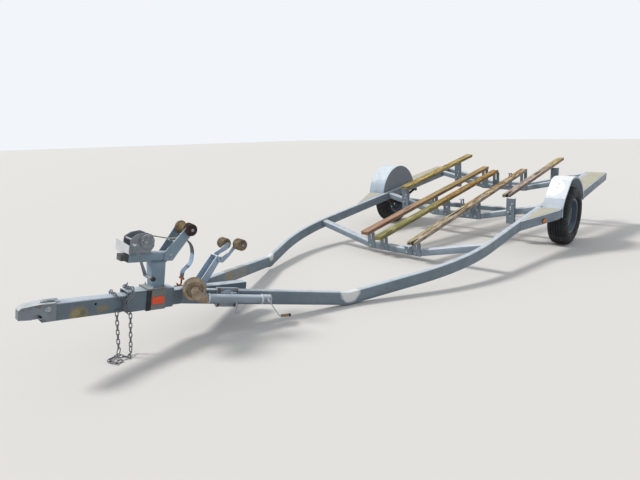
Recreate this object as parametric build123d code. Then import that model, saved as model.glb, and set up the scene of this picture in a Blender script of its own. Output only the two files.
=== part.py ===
from build123d import *
from math import sin, cos, tan, asin, atan2, hypot, radians, degrees, pi
import os

os.makedirs("parts", exist_ok=True)

# A single-axle boat trailer, in millimetres. The frame is creased at both front rails and rests on
# its two tyres and on the left rail's crease. X runs forward to the coupler, Y left, Z up.
# The rear frame is drawn flat: x forward of the axle, y left, h above the rails' tops. It is then
# tipped nose-down. The front section is drawn flat too, folded up at the creases, then tipped.

# Driving dimensions of the frame
NOSE_DOWN = 7.714        # degrees that the rear frame dips to the front
FOLD_UP = 17.03          # degrees that the front section is folded up at the creases
RAIL_H = 100.0
RAIL_W = 50.0
RAIL_WALL = 3.2
HALF_WIDTH = 1031.0      # centre line to a rail's outer face
RAIL_REAR = -1400.0
BEND_START = 1653.0      # where the rails start to curve inwards
BEND_RADIUS = 2121.0     # of the rails' outer edge
TOE_IN = 25.27           # degrees, of the rails' front runs
LEFT_CREASE_X = 3120.0
RIGHT_CREASE_X = 2875.0

# Running gear
TYRE_R = 325.0
TYRE_W = 205.0
TRACK_HALF = 1160.0      # centre line to the middle of a tyre
RIM_R = 178.0
HUB_BORE = 17.05
SPINDLE_R = 17.0
STUD_CIRCLE_R = 57.15

# Tongue and its sleeve
TONGUE_W = 76.0
TONGUE_REAR = 3700.0
TONGUE_FRONT = 5050.0
SLEEVE = (4300.0, 4604.0, 49.0, -106.0, 22.0)   # x rear, x front, half width, bottom, top
BALL_R = 25.9
BALL_X = 5090.0

# Cross-members: they dip to a flat middle so that a keel passes
CROSS_X = (1702.0, 342.0, -1138.0, -1400.0 + 38.0)
CROSS_W = 76.0
CROSS_H = 64.0
CROSS_END_TOP = -12.0
CROSS_MID_TOP = -180.0
CROSS_FLAT = 290.0       # half length of the flat middle

# Fender, step and plank sizes
FENDER_OUT = 1268.0
BENT_FENDER = (1048.0, 1250.0)   # inner and outer y of the left one, which was knocked flatter
SHEET = 3.0
STEP_DEPTH = 95.0
STEP_REAR_OUT = 1240.0
PLANK_W = 89.0
PLANK_T = 38.0

BETA = radians(TOE_IN)
ALONG = (cos(BETA), -sin(BETA))                 # left rail's front run, towards the tongue
OUTWARD = (sin(BETA), cos(BETA))
BEND_END = (BEND_START + BEND_RADIUS * sin(BETA),
            HALF_WIDTH - BEND_RADIUS * (1 - cos(BETA)))


def rail_edge_y(x):
    """Outer edge of the left rail's front run at x."""
    return BEND_END[1] - (x - BEND_END[0]) * tan(BETA)


LEFT_CREASE = Vector(LEFT_CREASE_X, rail_edge_y(LEFT_CREASE_X), 0)
RIGHT_CREASE = Vector(RIGHT_CREASE_X, -rail_edge_y(RIGHT_CREASE_X), 0)
CREASE_DIR = (LEFT_CREASE - RIGHT_CREASE).normalized()
CREASE_AHEAD = CREASE_DIR.cross(Vector(0, 0, 1))
HALF_FOLD = radians(FOLD_UP / 2)

crease = Plane(origin=LEFT_CREASE, x_dir=CREASE_DIR, z_dir=(0, 0, 1)).location
FOLD = crease * Location((0, 0, 0), (-FOLD_UP, 0, 0)) * crease.inverse()

# The lower outer corner of the left rail's front run, at the crease, is what touches the ground.
CORNER_BACK = RAIL_H * tan(HALF_FOLD) / (ALONG[0] * CREASE_AHEAD.X + ALONG[1] * CREASE_AHEAD.Y)
CORNER = FOLD * Pos(LEFT_CREASE.X - CORNER_BACK * ALONG[0], LEFT_CREASE.Y - CORNER_BACK * ALONG[1], -RAIL_H)
FRAME_Z = CORNER.position.X * sin(radians(NOSE_DOWN)) - CORNER.position.Z * cos(radians(NOSE_DOWN))

# Half of the difference between the reach ahead of the axle and behind it
ORIGIN_AHEAD = 1815.84

BASE = Location((-ORIGIN_AHEAD, 0, 0))
REAR = BASE * Location((0, 0, FRAME_Z), (0, NOSE_DOWN, 0))
FRONT = REAR * FOLD
JACK = FRONT * Location(LEFT_CREASE, (0, 0, -TOE_IN))

nodes = {}


def put(name, place, *shapes):
    """Keep shapes as one node, moved from their flat frame to their place."""
    solids = [solid for shape in shapes for solid in shape.solids()]
    nodes.setdefault(name, []).extend(place * solid for solid in solids)


def block(x0, x1, y0, y1, z0, z1):
    return Pos((x0 + x1) / 2, (y0 + y1) / 2, (z0 + z1) / 2) * Box(x1 - x0, y1 - y0, z1 - z0)


def outline(points):
    return make_face(Polyline(*points, close=True))


def slab_xz(points, y0, y1):
    """Prism with its outline in x and z, from y0 to y1."""
    return extrude(outline([(x, y0, z) for x, z in points]), amount=y1 - y0, dir=(0, 1, 0))


def slab_xy(points, z0, z1):
    return extrude(outline([(x, y, z0) for x, y in points]), amount=z1 - z0, dir=(0, 0, 1))


def slab_yz(points, x0, x1):
    return extrude(outline([(x0, y, z) for y, z in points]), amount=x1 - x0, dir=(1, 0, 0))


def rod(start, end, radius):
    """Round bar between two points."""
    start, end = Vector(*start), Vector(*end)
    plane = Plane(origin=start, z_dir=end - start)
    return extrude(plane * Circle(radius), amount=(end - start).length)


def disc_y(x, y0, y1, z, radius):
    return rod((x, y0, z), (x, y1, z), radius)


def turned_y(profile, x, y, z):
    """Turn a profile of (y, radius) points about the Y axis through x, z."""
    face = outline([(0, r, a) for a, r in profile])
    body = revolve(face, Axis((0, 0, 0), (0, 0, 1)))
    return Pos(x, y, z) * (Rot(-90, 0, 0) * body)


def mirrored(shape):
    return mirror(shape, about=Plane.XZ)


# Side rails

def rail_plan(inset, x_rear, x_reach=2100.0):
    """Plan of the left rail with its two edges moved inwards."""
    centre = (BEND_START, HALF_WIDTH - BEND_RADIUS)

    def edge(offset):
        radius = BEND_RADIUS - offset
        start = (BEND_START, HALF_WIDTH - offset)
        middle = (centre[0] + radius * sin(BETA / 2), centre[1] + radius * cos(BETA / 2))
        end = (centre[0] + radius * sin(BETA), centre[1] + radius * cos(BETA))
        tip = (end[0] + x_reach * ALONG[0], end[1] + x_reach * ALONG[1])
        return (x_rear, HALF_WIDTH - offset), start, middle, end, tip

    outer, inner = edge(inset), edge(RAIL_W - inset)
    lines = []
    for side in (outer, inner):
        lines += [Line(side[0], side[1]), ThreePointArc(side[1], side[2], side[3]),
                  Line(side[3], side[4])]
    lines += [Line(outer[0], inner[0]), Line(outer[4], inner[4])]
    return make_face(Curve() + lines)


def straight_rail():
    """The left rail as it was before the front was folded, open at its rear end."""
    skin = extrude(rail_plan(0, RAIL_REAR), amount=-RAIL_H)
    core = Pos(0, 0, -RAIL_WALL) * extrude(rail_plan(RAIL_WALL, RAIL_REAR - 10), amount=2 * RAIL_WALL - RAIL_H)
    beside_tongue = Plane(origin=(0, TONGUE_W / 2, 0), z_dir=(0, 1, 0))
    return split(skin - core, bisect_by=beside_tongue, keep=Keep.TOP)


def folded(rail):
    """Cut the rail at the crease, turn its front up and join the two at the mitre."""
    ahead = CREASE_AHEAD * cos(HALF_FOLD)
    up = Vector(0, 0, sin(HALF_FOLD))
    back = split(rail, bisect_by=Plane(origin=LEFT_CREASE, z_dir=ahead + up), keep=Keep.BOTTOM)
    nose = split(rail, bisect_by=Plane(origin=LEFT_CREASE, z_dir=ahead - up), keep=Keep.TOP)
    return back + FOLD * nose


left_rail = straight_rail()
put("rail_left", REAR, folded(left_rail))
put("rail_right", REAR, folded(mirrored(left_rail)))

# Cross-members

def dipped(top_end, top_mid, bottom_drop, reach, flat):
    """Outline in y and z of a member that dips to a flat middle."""
    top = [(-reach, top_end), (-flat, top_mid), (flat, top_mid), (reach, top_end)]
    return top + [(y, z - bottom_drop) for y, z in reversed(top)]


INNER_FACE = HALF_WIDTH - RAIL_W
for index, x in enumerate(CROSS_X, 1):
    reach = INNER_FACE - (2.0 if x > BEND_START - CROSS_W else 0.0)
    skin = slab_yz(dipped(CROSS_END_TOP, CROSS_MID_TOP, CROSS_H, reach, CROSS_FLAT),
                   x - CROSS_W / 2, x + CROSS_W / 2)
    core = slab_yz(dipped(CROSS_END_TOP - 4, CROSS_MID_TOP - 4, CROSS_H - 8, reach, CROSS_FLAT),
                   x - CROSS_W / 2 + 4, x + CROSS_W / 2 - 4)
    put(f"cross_member_{index}", REAR, skin - core)


def cross_top(y):
    """Top of a cross-member at y."""
    share = max(0.0, (abs(y) - CROSS_FLAT) / (INNER_FACE - CROSS_FLAT))
    return CROSS_MID_TOP + share * (CROSS_END_TOP - CROSS_MID_TOP)


# Bunk planks: middle y, front x, rear x, top at the front, top at the rear, tilt to the keel
PLANKS = (
    ("bunk_1", -667.0, 470.0, -1425.0, 123.0, 204.0, -5.0),
    ("bunk_2", -276.0, 1865.0, -1130.0, -16.0, 85.0, 0.0),
    ("bunk_3", -109.0, 1870.0, -1080.0, -50.0, 50.0, 0.0),
    ("bunk_4", 285.0, 1880.0, -1113.0, -55.0, 75.0, 0.0),
    ("bunk_5", 632.0, 400.0, -1520.0, 98.0, 163.0, 6.0),
)


def plank(y, x_front, x_rear, top_front, top_rear, tilt):
    slope = degrees(asin((top_rear - top_front) / (x_front - x_rear)))
    board = block(0, x_front - x_rear, -PLANK_W / 2, PLANK_W / 2, -PLANK_T, 0)
    return Location((x_rear, y, top_rear)) * Rot(0, slope, 0) * Rot(tilt, 0, 0) * board


for name, *sizes in PLANKS:
    put(name, REAR, plank(*sizes))


def plank_underside(sizes, x, y):
    """Height of a plank's lower face at x and y."""
    middle, x_front, x_rear, top_front, top_rear, tilt = sizes
    top = top_rear + (x - x_rear) / (x_front - x_rear) * (top_front - top_rear)
    return top - PLANK_T / cos(radians(tilt)) + (y - middle) * tan(radians(tilt))


ANGLE_T = 5.0
PLATE_W = 94.0           # a bracket under a plank
BARE_W = 45.0            # a narrow bracket left bare
TAB = 45.0
BOLT_GAP = 0.3           # between a bracket and its plank


def bolt(x, y, z):
    """Hexagon head on a round washer, on a bracket's front face."""
    face = Plane(origin=(x, y, z), z_dir=(1, 0, 0))
    return extrude(face * Circle(15), amount=2.5) + extrude(face * RegularPolygon(10, 6), amount=9)


def upright(x_face, y, top, width):
    """Angle bracket: a slotted leg on the member's front face and a tab under the plank."""
    low = cross_top(y) - 58
    leg = block(x_face, x_face + ANGLE_T, y - width / 2, y + width / 2, low, top)
    tab = block(x_face, x_face + TAB, y - width / 2, y + width / 2, top - ANGLE_T, top)
    put("bracket_bolts", REAR, bolt(x_face + ANGLE_T, y - width / 5, low + 30))
    slot = block(x_face - 1, x_face + ANGLE_T + 1, y - 6, y + 6, (low + top) / 2 + 10, top - 20)
    return leg + tab - slot


for member in CROSS_X[:3]:
    face = member + CROSS_W / 2
    for name, *sizes in PLANKS[1:4]:
        top = plank_underside(sizes, face + TAB, sizes[0]) - BOLT_GAP
        put("bunk_brackets", REAR, upright(face, sizes[0], top, PLATE_W))

# Brackets left bare: member, y, top, width. The narrow ones are a missing plank's.
for index, y, top, width in ((0, 187.0, -135.0, PLATE_W), (1, 187.0, -85.0, PLATE_W),
                             (1, 100.0, 5.0, BARE_W), (2, 100.0, 10.0, BARE_W)):
    put("bunk_brackets", REAR, upright(CROSS_X[index] + CROSS_W / 2, y, top, width))

CHANNEL_W = 90.0
CHANNEL_D = 40.0
CHANNEL_Y = 697.0


def outer_upright(x_face, y, top):
    """Channel on a member's front face that carries an outer plank."""
    y0, y1 = y - CHANNEL_W / 2, y + CHANNEL_W / 2
    whole = block(x_face, x_face + CHANNEL_D, y0, y1, -235, top)
    hollow = block(x_face - 1, x_face + CHANNEL_D - 4, y0 + 4, y1 - 4, -240, top + 5)
    slots = [block(x_face + 30, x_face + 50, y - 5, y + 5, z, z + 40) for z in (-150, -70)]
    put("bracket_bolts", REAR, bolt(x_face + CHANNEL_D, y - 22, -100), bolt(x_face + CHANNEL_D, y + 22, 0))
    return whole - hollow - slots


for member in CROSS_X[1:3]:
    face = member + CROSS_W / 2
    for side, (name, *sizes) in ((-1, PLANKS[0]), (1, PLANKS[4])):
        keel_edge = side * (CHANNEL_Y - CHANNEL_W / 2)
        top = plank_underside(sizes, face + CHANNEL_D, keel_edge) - BOLT_GAP
        put("bunk_brackets", REAR, outer_upright(face, side * CHANNEL_Y, top))

# Axle, leaf springs and hubs

AXLE_AHEAD = FRAME_Z - TYRE_R
AXLE_X = AXLE_AHEAD * sin(radians(NOSE_DOWN))
AXLE_H = -AXLE_AHEAD * cos(radians(NOSE_DOWN))
AXLE_SIDE = 50.0
beam = block(AXLE_X - AXLE_SIDE / 2, AXLE_X + AXLE_SIDE / 2, -1036, 1036,
             AXLE_H - AXLE_SIDE / 2, AXLE_H + AXLE_SIDE / 2)
bore = block(AXLE_X - 20, AXLE_X + 20, -1000, 1000, AXLE_H - 20, AXLE_H + 20)
spindles = [disc_y(AXLE_X, side * 1036, side * 1150, AXLE_H, SPINDLE_R) for side in (-1, 1)]
put("axle", REAR, (beam - bore) + spindles)

LEAF_T = 7.0
LEAF_W = 45.0
SPRING_HALF = 330.0
SPRING_RISE = 34.0
SPRING_Y = HALF_WIDTH - RAIL_W / 2


def leaf(half, rise, drop):
    """One curved leaf, its middle at drop below the axle's spring seat line."""
    lower = ThreePointArc((-half, rise + drop), (0, drop), (half, rise + drop))
    upper = ThreePointArc((-half, rise + drop + LEAF_T), (0, drop + LEAF_T), (half, rise + drop + LEAF_T))
    face = make_face(Curve() + [lower, upper, Line(lower @ 0, upper @ 0), Line(lower @ 1, upper @ 1)])
    strip = extrude(Plane.XZ * face, amount=LEAF_W / 2, both=True)
    return strip


def spring(y):
    seat = AXLE_H + AXLE_SIDE / 2
    pack = [Pos(AXLE_X, y, seat) * leaf(half, SPRING_RISE * (half / SPRING_HALF) ** 2, drop)
            for half, drop in ((SPRING_HALF, 14.0), (230.0, 7.0), (140.0, 0.0))]
    eye_h = seat + 14 + SPRING_RISE
    parts = []
    for end in (-1, 1):
        x = AXLE_X + end * (SPRING_HALF + 10)
        parts.append(disc_y(x, y - LEAF_W / 2, y + LEAF_W / 2, eye_h + 4, 15.0))
        for cheek in (-1, 1):
            y0 = y + cheek * (LEAF_W / 2 + 2.5)
            parts.append(block(x - 22, x + 22, y0 - 2.5, y0 + 2.5, eye_h - 18, -RAIL_H))
    for end in (-1, 1):
        x = AXLE_X + end * (AXLE_SIDE / 2 + 6)
        for cheek in (-1, 1):
            y0 = y + cheek * (LEAF_W / 2 - 6)
            parts.append(rod((x, y0, AXLE_H - AXLE_SIDE / 2 - 24), (x, y0, seat + 26), 5.0))
    parts.append(block(AXLE_X - 45, AXLE_X + 45, y - 30, y + 30,
                       AXLE_H - AXLE_SIDE / 2 - 14, AXLE_H - AXLE_SIDE / 2))
    parts.append(block(AXLE_X - 45, AXLE_X + 45, y - 26, y + 26, seat + 21, seat + 28))
    whole = pack[0]
    for piece in pack[1:] + parts:
        whole = whole + piece
    return whole


for side in (-1, 1):
    put("springs", REAR, spring(side * SPRING_Y))

# Wheels. Profiles are (distance outwards from the tyre's middle, radius).

TYRE_PROFILE = (
    (-69.5, 179.2), (-69.5, 196), (-97, 222), (-102, 260), (-90, 303), (-62, 321), (0, 325),
    (62, 321), (90, 303), (102, 260), (97, 222), (69.5, 196), (69.5, 179.2),
    (57, 179.2), (60, 203), (87, 232), (88, 276), (60, 309), (-60, 309), (-88, 276), (-87, 232),
    (-60, 203), (-57, 179.2),
)
RIM_PROFILE = (
    (-76, 194), (-70, 194), (-70, 179), (-50, 179), (-40, 160), (10, 160), (22, 179), (70, 179),
    (70, 194), (76, 194), (76, 186), (74, 174), (26, 174), (14, 155), (-44, 155), (-54, 174),
    (-74, 174), (-76, 186),
)
DISC_PROFILE = (
    (0, 42), (4, 42), (4, 74), (14, 86), (34, 104), (34, 132), (16, 155.5), (11, 155.5), (29, 130),
    (29, 106), (10, 90), (0, 78),
)
HUB_PROFILE = (
    (-88, HUB_BORE), (-88, 40), (-14, 42), (-12, 68), (0, 68), (0, 38), (34, 36), (44, 26),
    (48, 0.0), (40, 0.0), (22, HUB_BORE),
)


def rim():
    shell = turned_y(RIM_PROFILE, 0, 0, 0) + turned_y(DISC_PROFILE, 0, 0, 0)
    cuts = []
    for turn in range(8):
        window = Pos(0, 31, 119) * Rot(-90, 0, 0) * extrude(SlotOverall(34, 18), amount=30, both=True)
        cuts.append(Rot(0, 45 * turn, 0) * window)
    for turn in range(5):
        cuts.append(Rot(0, 72 * turn, 0) * disc_y(0, -5, 12, STUD_CIRCLE_R, 7.5))
    for cut in cuts:
        shell = shell - cut
    return shell


def hub():
    body = turned_y(HUB_PROFILE, 0, 0, 0)
    for turn in range(5):
        stud = disc_y(0, -4, 24, STUD_CIRCLE_R, 6.35)
        nut = Pos(0, 4.0, STUD_CIRCLE_R) * Rot(-90, 0, 0) * extrude(RegularPolygon(11, 6), amount=14)
        body = body + Rot(0, 72 * turn, 0) * stud + Rot(0, 72 * turn, 0) * nut
    return body


TYRE, RIM, HUB = turned_y(TYRE_PROFILE, 0, 0, 0), rim(), hub()
for name, side in (("left", 1), ("right", -1)):
    wheel = BASE * Pos(0, side * TRACK_HALF, TYRE_R)
    for part, shape in (("tyre", TYRE), ("rim", RIM), ("hub", HUB)):
        put(f"{part}_{name}", wheel, shape if side > 0 else mirrored(shape))

# Fenders, as x and h. The right one is still a half circle, the left one is creased and flattened.

ARCH_X = 50.0
ARCH_R = 390.0
ROUND_ARCH = Curve() + [
    ThreePointArc((ARCH_X + ARCH_R, -STEP_DEPTH), (ARCH_X, ARCH_R - STEP_DEPTH), (ARCH_X - ARCH_R, -STEP_DEPTH)),
    Line((ARCH_X - ARCH_R, -STEP_DEPTH), (ARCH_X + ARCH_R, -STEP_DEPTH))]
FLAT_ARCH = Polyline((440, -STEP_DEPTH), (440, 0), (376, 90), (188, 250), (95, 263), (-20, 246), (-110, 210),
                     (-200, 148), (-270, 72), (-320, -20), (-340, -STEP_DEPTH), close=True)
LIP = 18.0               # width of the edge that is turned in over the tyre


def fender(arch, inner_y, outer_y):
    """Bent sheet with a wall to the frame, a turned-in edge outside, and open below."""
    face = make_face(arch)

    def prism(depth, y0, y1):
        smaller = Plane.XZ * (offset(face, amount=-depth) if depth else face)
        return Pos(0, y0, 0) * extrude(smaller, amount=y1 - y0, dir=(0, 1, 0))

    def below(depth, y0, y1):
        x0, x1 = ARCH_X - ARCH_R + depth + 2, ARCH_X + ARCH_R - depth - 2   # 2 mm clear of the curved ends
        return block(x0, x1, y0, y1, -STEP_DEPTH - 5, -STEP_DEPTH + depth + 1)

    whole = prism(0, inner_y, outer_y)
    inside = (inner_y + SHEET, outer_y - SHEET)
    mouth = (outer_y - SHEET - 1, outer_y + 1)
    for depth, span in ((SHEET, inside), (LIP, mouth)):
        whole = whole - prism(depth, *span) - below(depth, *span)
    return whole


put("fender_left", REAR, fender(FLAT_ARCH, *BENT_FENDER))
put("fender_right", REAR, mirrored(fender(ROUND_ARCH, HALF_WIDTH, FENDER_OUT)))

# Steps ahead of and behind each fender

STEP_FRONT_OUT = 1240.0
FRONT_STEP = ((441, HALF_WIDTH), (1018, HALF_WIDTH), (505, STEP_FRONT_OUT), (441, STEP_FRONT_OUT))
REAR_STEP = ((-1395, HALF_WIDTH), (-341, HALF_WIDTH), (-341, STEP_REAR_OUT), (-1395, STEP_REAR_OUT))


def step(plan):
    """Folded sheet with a skirt all round, open below."""
    whole = slab_xy(plan, -STEP_DEPTH, 0)
    face = offset(outline([(x, y, 0) for x, y in plan]), amount=-SHEET)
    return whole - Pos(0, 0, -SHEET) * extrude(face, amount=-STEP_DEPTH)


def pad(plan):
    """Non-skid pad that lies on a step."""
    face = offset(outline([(x, y, 0) for x, y in plan]), amount=-14.0, kind=Kind.INTERSECTION)
    return extrude(face, amount=2.5)


for name, plan in (("front_steps", FRONT_STEP), ("rear_steps", REAR_STEP)):
    left_step, left_pad = step(plan), pad(plan)
    for turn in (left_step, mirrored(left_step)):
        put(name, REAR, turn)
    for turn in (left_pad, mirrored(left_pad)):
        put("step_pads", REAR, turn)

# Lamps

LAMP_PLACE = (710.0, 1156.5, -62.0)
skirt_turn = degrees(atan2(STEP_FRONT_OUT - HALF_WIDTH, 1018 - 505))
marker = Location(LAMP_PLACE, (0, 0, -skirt_turn)) * Rot(-90, 0, 0) * (
    Cylinder(27, 10, align=(Align.CENTER, Align.CENTER, Align.MIN))
    + Pos(0, 0, 10) * Cone(25, 16, 9, align=(Align.CENTER, Align.CENTER, Align.MIN)))
tail = block(-1396 - 30, -1396, 1075, 1205, -86, -16)
tail = fillet(tail.edges().filter_by(Axis.X), 8)
for lamp, name in ((marker, "marker_lamps"), (tail, "tail_lamps")):
    put(name, REAR, lamp, mirrored(lamp))

# Tongue, sleeve and coupler

def box_tube(x0, x1, half, z0, z1, wall):
    return block(x0, x1, -half, half, z0, z1) - block(x0 - 5, x1 + 5, -half + wall, half - wall,
                                                      z0 + wall, z1 - wall)


TONGUE_HOLE = (4780.0, -30.0, 7.0)
tongue = box_tube(TONGUE_REAR, TONGUE_FRONT, TONGUE_W / 2, -RAIL_H, 0, 5)
tongue = tongue - disc_y(TONGUE_HOLE[0], -60, 60, TONGUE_HOLE[1], TONGUE_HOLE[2])
tongue = tongue - disc_y(5026, -60, 60, -26, 9)
put("tongue_tube", FRONT, tongue)

rear_x, front_x, half, low, high = SLEEVE
put("tongue_sleeve", FRONT, box_tube(rear_x, front_x, half, low, high, 5))

COUPLER_SIDE = ((4985, 4), (5058, 4), (5120, -4), (5152, -10), (5165, -24), (5165, -76), (5045, -76),
                (5030, -94), (4985, -94))
coupler = slab_xz(COUPLER_SIDE, -43, 43)
coupler = coupler - slab_xz([(x - 4.5, min(z, 4) - 4.0) for x, z in COUPLER_SIDE[:6]]
                            + [(5160.5, -120), (4970, -120), (4970, 0)], -38.5, 38.5)
coupler = coupler - disc_y(5077, -50, 50, -76, 26)
cup = Pos(BALL_X, 0, -76) * Cylinder(35, 71, align=(Align.CENTER, Align.CENTER, Align.MIN))
cup = cup - Pos(BALL_X, 0, -76 - 1) * Cylinder(BALL_R, 40, align=(Align.CENTER, Align.CENTER, Align.MIN))
cup = cup & block(5040, 5161, -39, 39, -76, -4)
put("coupler", FRONT, coupler + cup + disc_y(5026, -50, 50, -26, 9))
latch = slab_xz([(4990, 4.5), (5062, 4.5), (5058, 14), (5030, 24), (4960, 30), (4956, 24),
                 (4990, 14)], -14, 14)
put("coupler_latch", FRONT, latch)

# Winch stand

SADDLE_X = (4356.0, 4453.0)
top_plate = block(SADDLE_X[0], 4481, -60, 60, high, high + 8)
cheeks = [block(*SADDLE_X, *(sorted((side * 49.5, side * 55.5))), low - 2, high) for side in (-1, 1)]
put("winch_saddle", FRONT, top_plate + cheeks)
band = block(4455, 4482, -54, 54, low - 4, high - 0.5) - block(4440, 4490, -half - 0.5, half + 0.5, low, 60)
put("saddle_band", FRONT, band)
for side in (-1, 1):
    put("reflectors", FRONT, block(4368, 4449, *sorted((side * 55.5, side * 59)), -71, -24))

POST = ((4361, high + 8), (4440, high + 8), (4460, 195), (4365, 195))
post = slab_xz(POST, -38, 38) - slab_xz([(x + (5 if x < 4400 else -5), z + (-1 if z < 100 else 1))
                                         for x, z in POST], -33, 33)
put("winch_post", FRONT, post)
put("winch_arm", FRONT, block(4320, 4605, -32, 32, 195, 250) - block(4310, 4615, -28, 28, 199, 246))
put("arm_plug", FRONT, block(4590, 4649, -27.5, 27.5, 208, 245.5))


def bow_arm(side):
    """Flat arm that leans back and flares out to the bow roller."""
    plate = slab_xz([(4318, 196), (4380, 196), (4380, 250), (4270, 396), (4258, 414), (4236, 421),
                     (4214, 413), (4205, 392), (4212, 372), (4290, 246)], 32, 38)
    pivot, lean = (4350.0, 32.0, 245.0), Vector(0.807, 0, 0.59)
    foot = slab_xz([(4318, 196), (4380, 196), (4380, 249), (4322, 249)], 32, 38)
    turned = plate.rotate(Axis(pivot, lean), -8.0) - block(4300, 4400, 0, 32, 190, 255) + foot
    return turned if side > 0 else mirrored(turned)


ROLLER_C = (4233.0, 399.0)
arms = [bow_arm(side) for side in (-1, 1)]
crossbar = disc_y(4318, -44, 44, 318, 8)
pin = disc_y(ROLLER_C[0], -66, 100, ROLLER_C[1], 8.0)
put("bow_stop", FRONT, arms[0] + arms[1] + crossbar + pin)

ROLLER_PROFILE = ((-50, 8.6), (-50, 40), (-43, 42), (-16, 30), (16, 30), (43, 42), (50, 40), (50, 8.6))
put("bow_roller", FRONT, turned_y(ROLLER_PROFILE, ROLLER_C[0], 0, ROLLER_C[1]))
BELL_PROFILE = ((70, 8.6), (70, 36), (75, 40), (89, 38), (94, 26), (94, 8.6))
bell = turned_y(BELL_PROFILE, ROLLER_C[0], 0, ROLLER_C[1])
put("roller_bells", FRONT, bell)

# Winch

WINCH_SIDE = ((4482, 254), (4607, 254), (4608, 328), (4598, 350), (4566, 369), (4512, 379),
              (4476, 366), (4455, 334), (4456, 290))
cheek = slab_xz(WINCH_SIDE, 40, 44)
base = block(4460, 4607, -44, 44, 250, 254)
gear_case = disc_y(4508, 44, 58, 326, 44)
put("winch_frame", FRONT, base + cheek + mirrored(cheek) + gear_case)
drum = disc_y(4520, -39.5, 39.5, 322, 16) + disc_y(4520, -23.5, 23.5, 322, 38)
put("winch_drum", FRONT, drum)

CRANK_Y = 100.0
GRIP_X, GRIP_H = 4531.0, 134.0
CRANK_SIDE = ((4606, 312), (4594, 322), (4578, 318), (4572, 268), (4546, 200), (4522, 146), (4524, 130),
              (4540, 130), (4562, 196), (4586, 262))
crank = disc_y(4590, 44, CRANK_Y + 6, 306, 9)
crank = crank + slab_xz(CRANK_SIDE, CRANK_Y - 6, CRANK_Y)
crank = crank + disc_y(GRIP_X, CRANK_Y, CRANK_Y + 84, GRIP_H, 9)
put("winch_crank", FRONT, crank)
put("crank_grip", FRONT, disc_y(GRIP_X, CRANK_Y + 84, CRANK_Y + 104, GRIP_H, 14))

COVER_TURN = 20.0        # degrees that the cover is bent towards the left
cover = slab_yz([(45, 254), (45, 302), (-57, 330), (-57, 264), (-40, 254)], 4611, 4613)
cover = cover.rotate(Axis((4612, 45, 254), (0, 0, 1)), COVER_TURN) + block(4607, 4613, -45, 45, 250, 254)
put("winch_cover", FRONT, cover)

# Winch strap: a flat webbing in the plane y = 0, as x and h along its middle

STRAP_W = 44.0
STRAP_T = 2.5
STRAP_ROUTE = ((4496, 354), (4440, 350), (4390, 340), (4330, 331), (4290, 334), (4245, 334),
               (4205, 318), (4176, 290), (4160, 250), (4158, 205), (4164, 165), (4188, 138),
               (4216, 118), (4221, 94), (4221, 70))


def strap_radii(route):
    """Radius of each corner: 0.45 of the shorter run over the tangent of half the turn."""
    radii = []
    for a, b, c in zip(route, route[1:], route[2:]):
        first, second = Vector(b[0] - a[0], b[1] - a[1]), Vector(c[0] - b[0], c[1] - b[1])
        turn = radians(first.get_angle(second))
        radii.append(0.45 * min(first.length, second.length) / tan(turn / 2))
    return radii


RADII = strap_radii(STRAP_ROUTE)
middle_line = FilletPolyline(*[(x, 0, z) for x, z in STRAP_ROUTE], radius=RADII)
section = Plane(origin=middle_line @ 0, x_dir=(0, 1, 0), z_dir=middle_line % 0) * Rectangle(STRAP_W, STRAP_T)
put("winch_strap", FRONT, sweep(section, path=middle_line))

HOOK_X = 4221.0
HOOK_TOP = 70.0
HOOK_BEND = 15.0         # radius of the hook's middle line
HOOK_WIRE = 5.5
hook_low = 32.0
hook = sweep(Plane(origin=(HOOK_X, 0, HOOK_TOP - 10), z_dir=(0, 0, -1)) * Circle(HOOK_WIRE),
             path=Line((HOOK_X, 0, HOOK_TOP - 10), (HOOK_X, 0, hook_low))
             + ThreePointArc((HOOK_X, 0, hook_low), (HOOK_X + HOOK_BEND, 0, hook_low - HOOK_BEND),
                             (HOOK_X + 2 * HOOK_BEND, 0, hook_low)))
put("strap_hook", FRONT, hook + block(HOOK_X - 5, HOOK_X + 5, -25, 25, HOOK_TOP - 12, HOOK_TOP))

# Roller cradle on the tongue

STEM = ((4128, 0), (4060, 0), (3948, 186), (3982, 212))
stem = slab_xz(STEM, -36, 36) - slab_xz([(4128, -1), (4066, 5), (3962, 180), (4010, 240), (4160, 60)],
                                        -31, 31)
put("cradle_stem", FRONT, stem)

CRADLE = (("left", 1, (3846.0, 70.0, 297.0)), ("right", -1, (3838.0, 70.0, 268.0)))
for name, side, (x, y, z) in CRADLE:
    strut = slab_xz([(3982, 168), (3950, 212), (3906, 234), (x + 4, z + 14), (x - 12, z + 12), (x - 14, z - 8),
                     (x + 6, z - 40), (3898, 204), (3944, 164)], 0, 7)
    strut = Pos(0, side * 48 - (0 if side > 0 else 7), 0) * strut
    lug = block(3946, 3980, *sorted((side * 36, side * 49)), 170, 206)
    axle_pin = disc_y(x, *sorted((side * 48, side * 134)), z, 7)
    put("cradle_arms", FRONT, strut + lug + axle_pin)
    roller = turned_y(((-34, 7.6), (-34, 37), (-26, 40), (26, 40), (34, 37), (34, 7.6)), x, side * 96, z)
    put(f"cradle_roller_{name}", FRONT, roller)

# Jack, stowed along the left rail: s along the rail from the crease, w out from its face, h up

JACK_W = 66.0
JACK_H = -38.0
JACK_PIVOT_S = 932.0
JACK_TUBE = (708.0, 1066.0)
JACK_WHEEL = (1164.0, 23.0)

plate = block(862, 1006, 0, 8, -114, 18)
boss = rod((JACK_PIVOT_S, 8, JACK_H), (JACK_PIVOT_S, 20, JACK_H), 30)
put("jack_bracket", JACK, plate + boss)

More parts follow.
